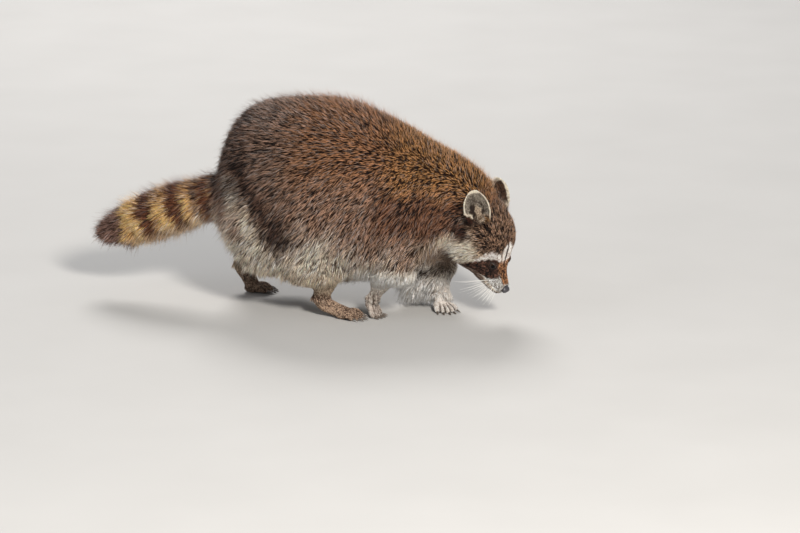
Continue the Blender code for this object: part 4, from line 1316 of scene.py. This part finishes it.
def make_nose(finish):
    """The bare pad of the nose, with nostrils, their slits and the groove between them."""
    pad = add_ball("nose_pad", 64, 48)
    co = places(pad.data) * NOSE_SIZE
    f, left, n = co.T
    side = np.abs(left)
    # flatter in front, squared above, drawn in below
    co[:, 0] *= 1 - 0.18 * ramp(f, 0.003, NOSE_SIZE[0])
    co[:, 1] *= 1 - 0.24 * ramp(n, 0.0, -NOSE_SIZE[2])
    co[:, 2] *= 1 - 0.14 * ramp(n, 0.003, NOSE_SIZE[2])
    out = unit(co)
    pit = np.exp(-(((side - 0.0040) / 0.0017) ** 2 + ((n - 0.0004) / 0.0015) ** 2)) * ramp(f, 0.0, 0.003)
    slit = hump(n + 0.0012 + 0.25 * (side - 0.004), 0, 0.0009)
    slit = slit * ramp(side, 0.004, 0.0055) * ramp(f, -0.002, 0.002)
    groove = hump(side, 0, 0.0007) * ramp(f, 0.001, 0.005) * ramp(n, 0.004, 0.001)
    co = co - out * (0.0030 * pit + 0.0016 * slit + 0.0008 * groove)[:, None]
    move_to(pad.data, from_head(co + np.array([NOSE_BACK, 0, NOSE_UP])))
    cover(pad.data, finish)
    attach(pad, "root")
    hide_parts("nose")


def make_whiskers(lines, finish):
    """Long tapering bristles: each line is a root, a way, a bend and a length."""
    verts, faces = [], []
    sides = range(WHISKER_SIDES)
    for root, way, bend, length in lines:
        side = unit(np.cross(way, bend + np.array([0.01, 0.02, 0.03])))
        up = unit(np.cross(side, way))
        start = len(verts)
        for k in range(WHISKER_STEPS):
            t = k / WHISKER_STEPS
            core = root + way * length * t + bend * length * t * t
            r = WHISKER_RADIUS * (1 - 0.80 * t)
            for j in sides:
                a = 2 * math.pi / WHISKER_SIDES * j
                at = core + r * (math.cos(a) * side + math.sin(a) * up)
                at[2] = max(at[2], FLOOR_GAP)
                verts.append(at)
        verts.append(root + way * length + bend * length)
        faces.append([start + j for j in reversed(sides)])
        tip = len(verts) - 1
        for k in range(start, tip, WHISKER_SIDES):
            for j in sides:
                a, b = k + j, k + (j + 1) % WHISKER_SIDES
                ahead = (tip,) if k + WHISKER_SIDES == tip else (b + WHISKER_SIDES, a + WHISKER_SIDES)
                faces.append((a, b, *ahead))
    mesh = bpy.data.meshes.new("whiskers")
    mesh.from_pydata([tuple(v) for v in verts], [], faces)
    face_outwards(mesh)
    cover(mesh, finish)
    piece = add_object("whiskers", mesh)
    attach(piece, "root")


def whisker_lines(surface):
    """Rows of whiskers on both sides of the muzzle."""
    lines = []
    for sign in SIDES.values():
        for row in range(4):
            for k in range(6):
                f = -0.005 - 0.0036 * k - 0.001 * row
                turn = math.radians(2 - 13 * row + DRAW.uniform(-4, 4))
                ray = unit(head_way(0, sign * math.cos(turn), math.sin(turn)))
                start = from_head((f, 0, -0.008))
                hit = surface.ray_cast(Vector(start + ray * 0.05), Vector(-ray))
                if hit[0] is None:
                    continue
                root = np.array(hit[0]) - ray * 0.001
                fan = 0.90 - 0.22 * k + DRAW.uniform(-0.10, 0.10)
                way = unit(head_way(fan, sign * 0.80, -0.36 - 0.12 * row))
                bend = head_way(-0.10, 0, -0.12) * DRAW.uniform(0.4, 1.3)
                length = (0.029 + 0.0058 * k) * DRAW.uniform(0.75, 1.15) * (1 - 0.10 * row)
                lines.append((root, way, bend, length))
    return lines


# ------------------------------------------------------------------ everything


bare_skin, depth, flesh_tree, flesh_owner = make_skin()
finish_skin(bare_skin)
surface = Skin(bare_skin, depth, flesh_tree, flesh_owner)
tones = markings(surface.co, surface.sharp, ear_inside(surface.co, surface.n))
share = tones[:, 6:7]
# the skin takes the markings, darkened as painted shade where it lies deep between the hairs
under = tones[:, :3] * share * 0.5 + tones[:, 3:6] * (1 - share * 0.5)
set_values(bare_skin.data, "skin_tone_and_shade", "FLOAT_COLOR", rgba(under))
bare_skin.data.materials.clear()
bare_skin.data.materials.append(skin_finish())
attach(bare_skin, "root")
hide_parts(*FLESH)

skin_tree = BVHTree.FromPolygons(surface.co.tolist(), surface.corners.tolist())
make_coat(surface, skin_tree, coat_finish())
eye_shine = eye_finish()
rim = (0.010, 0.007, 0.006), (0.042, 0.028, 0.022)
lid_skin = grained_finish("raccoon_lids", 0.4, (800.0, 3.0), *rim, (0.42, 0.3), (0.4, 0.0002))
for eye in EYES:
    make_eye(eye, eye_shine)
    make_lids(eye, skin_tree, lid_skin)
make_nose(nose_finish())
ivory = (0.62, 0.60, 0.56), (0.88, 0.86, 0.82)
bristle = grained_finish("raccoon_whiskers", 0.5, (300.0, 2.0), *ivory, (0.30, 0.2))
make_whiskers(whisker_lines(skin_tree), bristle)

brown = (0.045, 0.034, 0.027), (0.17, 0.13, 0.10)
horn = grained_finish("raccoon_claw_horn", 0.5, (500.0, 4.0), *brown, (0.28, 0.25), (0.25, 0.0002))
for node, piece in NODES.items():
    if node.startswith("claw"):
        piece.data.materials.clear()
        piece.data.materials.append(horn)
        for slot in piece.material_slots:
            slot.material = horn


# ------------------------------------------------------------------ floor, light and camera

VIEW_TURN, VIEW_RISE = math.radians(12), math.radians(14)
VIEW_RIGHT, VIEW_UP = 0.112, 0.0632  # the middle of the view, across the view from VIEW_FOOT
VIEW_FOOT = Vector((0.0469, 0.0001, 0))
LENS, FILM, FAR = 200.0, 36.0, 7.111
LIT_PLACE = Vector((0.05, 0, 0.15))


def set_up(name, data, target, way, far):
    """Adds a camera or a lamp, at a distance from its target and facing it."""
    item = add_object(name, data)
    item.location = target + way * far
    item.rotation_mode = "QUATERNION"
    item.rotation_quaternion = way.to_track_quat("Z", "Y")
    return item


def softbox(name, way, far, size, power, colour):
    light = bpy.data.lights.new(name, "AREA")
    light.shape, light.size, light.energy, light.color = "DISK", size, power, colour
    set_up(name, light, LIT_PLACE, way.normalized(), far)


bpy.ops.object.select_all(action="DESELECT")
bpy.ops.mesh.primitive_plane_add(size=12, location=(0, 0, 0))
floor = bpy.context.object
floor.name = "studio_floor"
pale = (0.50, 0.49, 0.475), (0.55, 0.54, 0.525)
floor.data.materials.append(grained_finish("studio_floor", 0.2, (5.0, 2.0), *pale, (0.75, 0.15)))

right = Vector((math.cos(VIEW_TURN), math.sin(VIEW_TURN), 0))
level = math.cos(VIEW_RISE)
back = Vector((math.sin(VIEW_TURN) * level, -math.cos(VIEW_TURN) * level, math.sin(VIEW_RISE)))
target = right * VIEW_RIGHT + back.cross(right) * VIEW_UP + VIEW_FOOT
camera = set_up("camera", bpy.data.cameras.new("camera"), target, back, FAR)
camera.data.lens, camera.data.sensor_width, camera.data.clip_end = LENS, FILM, 100
bpy.context.scene.camera = camera

up = Vector((0, 0, 1))
softbox("key_light", right * 0.30 + back * 1.0 + up * 0.31, 5.2, 0.9, 325, (1.0, 0.96, 0.90))
softbox("fill_light", -right * 0.9 + back * 0.5 + up * 0.5, 4.0, 2.5, 20, (0.92, 0.96, 1.0))
softbox("rim_light", -right * 0.1 - back * 0.8 + up * 0.9, 4.6, 2.0, 150, (1.0, 0.98, 0.96))
world = bpy.data.worlds.new("studio")
world.use_nodes = True
sky = world.node_tree.nodes["Background"].inputs
sky["Color"].default_value, sky["Strength"].default_value = (0.80, 0.84, 0.90, 1), 0.32
bpy.context.scene.world = world
bpy.context.scene.view_settings.view_transform = "Standard"
bpy.context.scene.view_settings.look = "None"
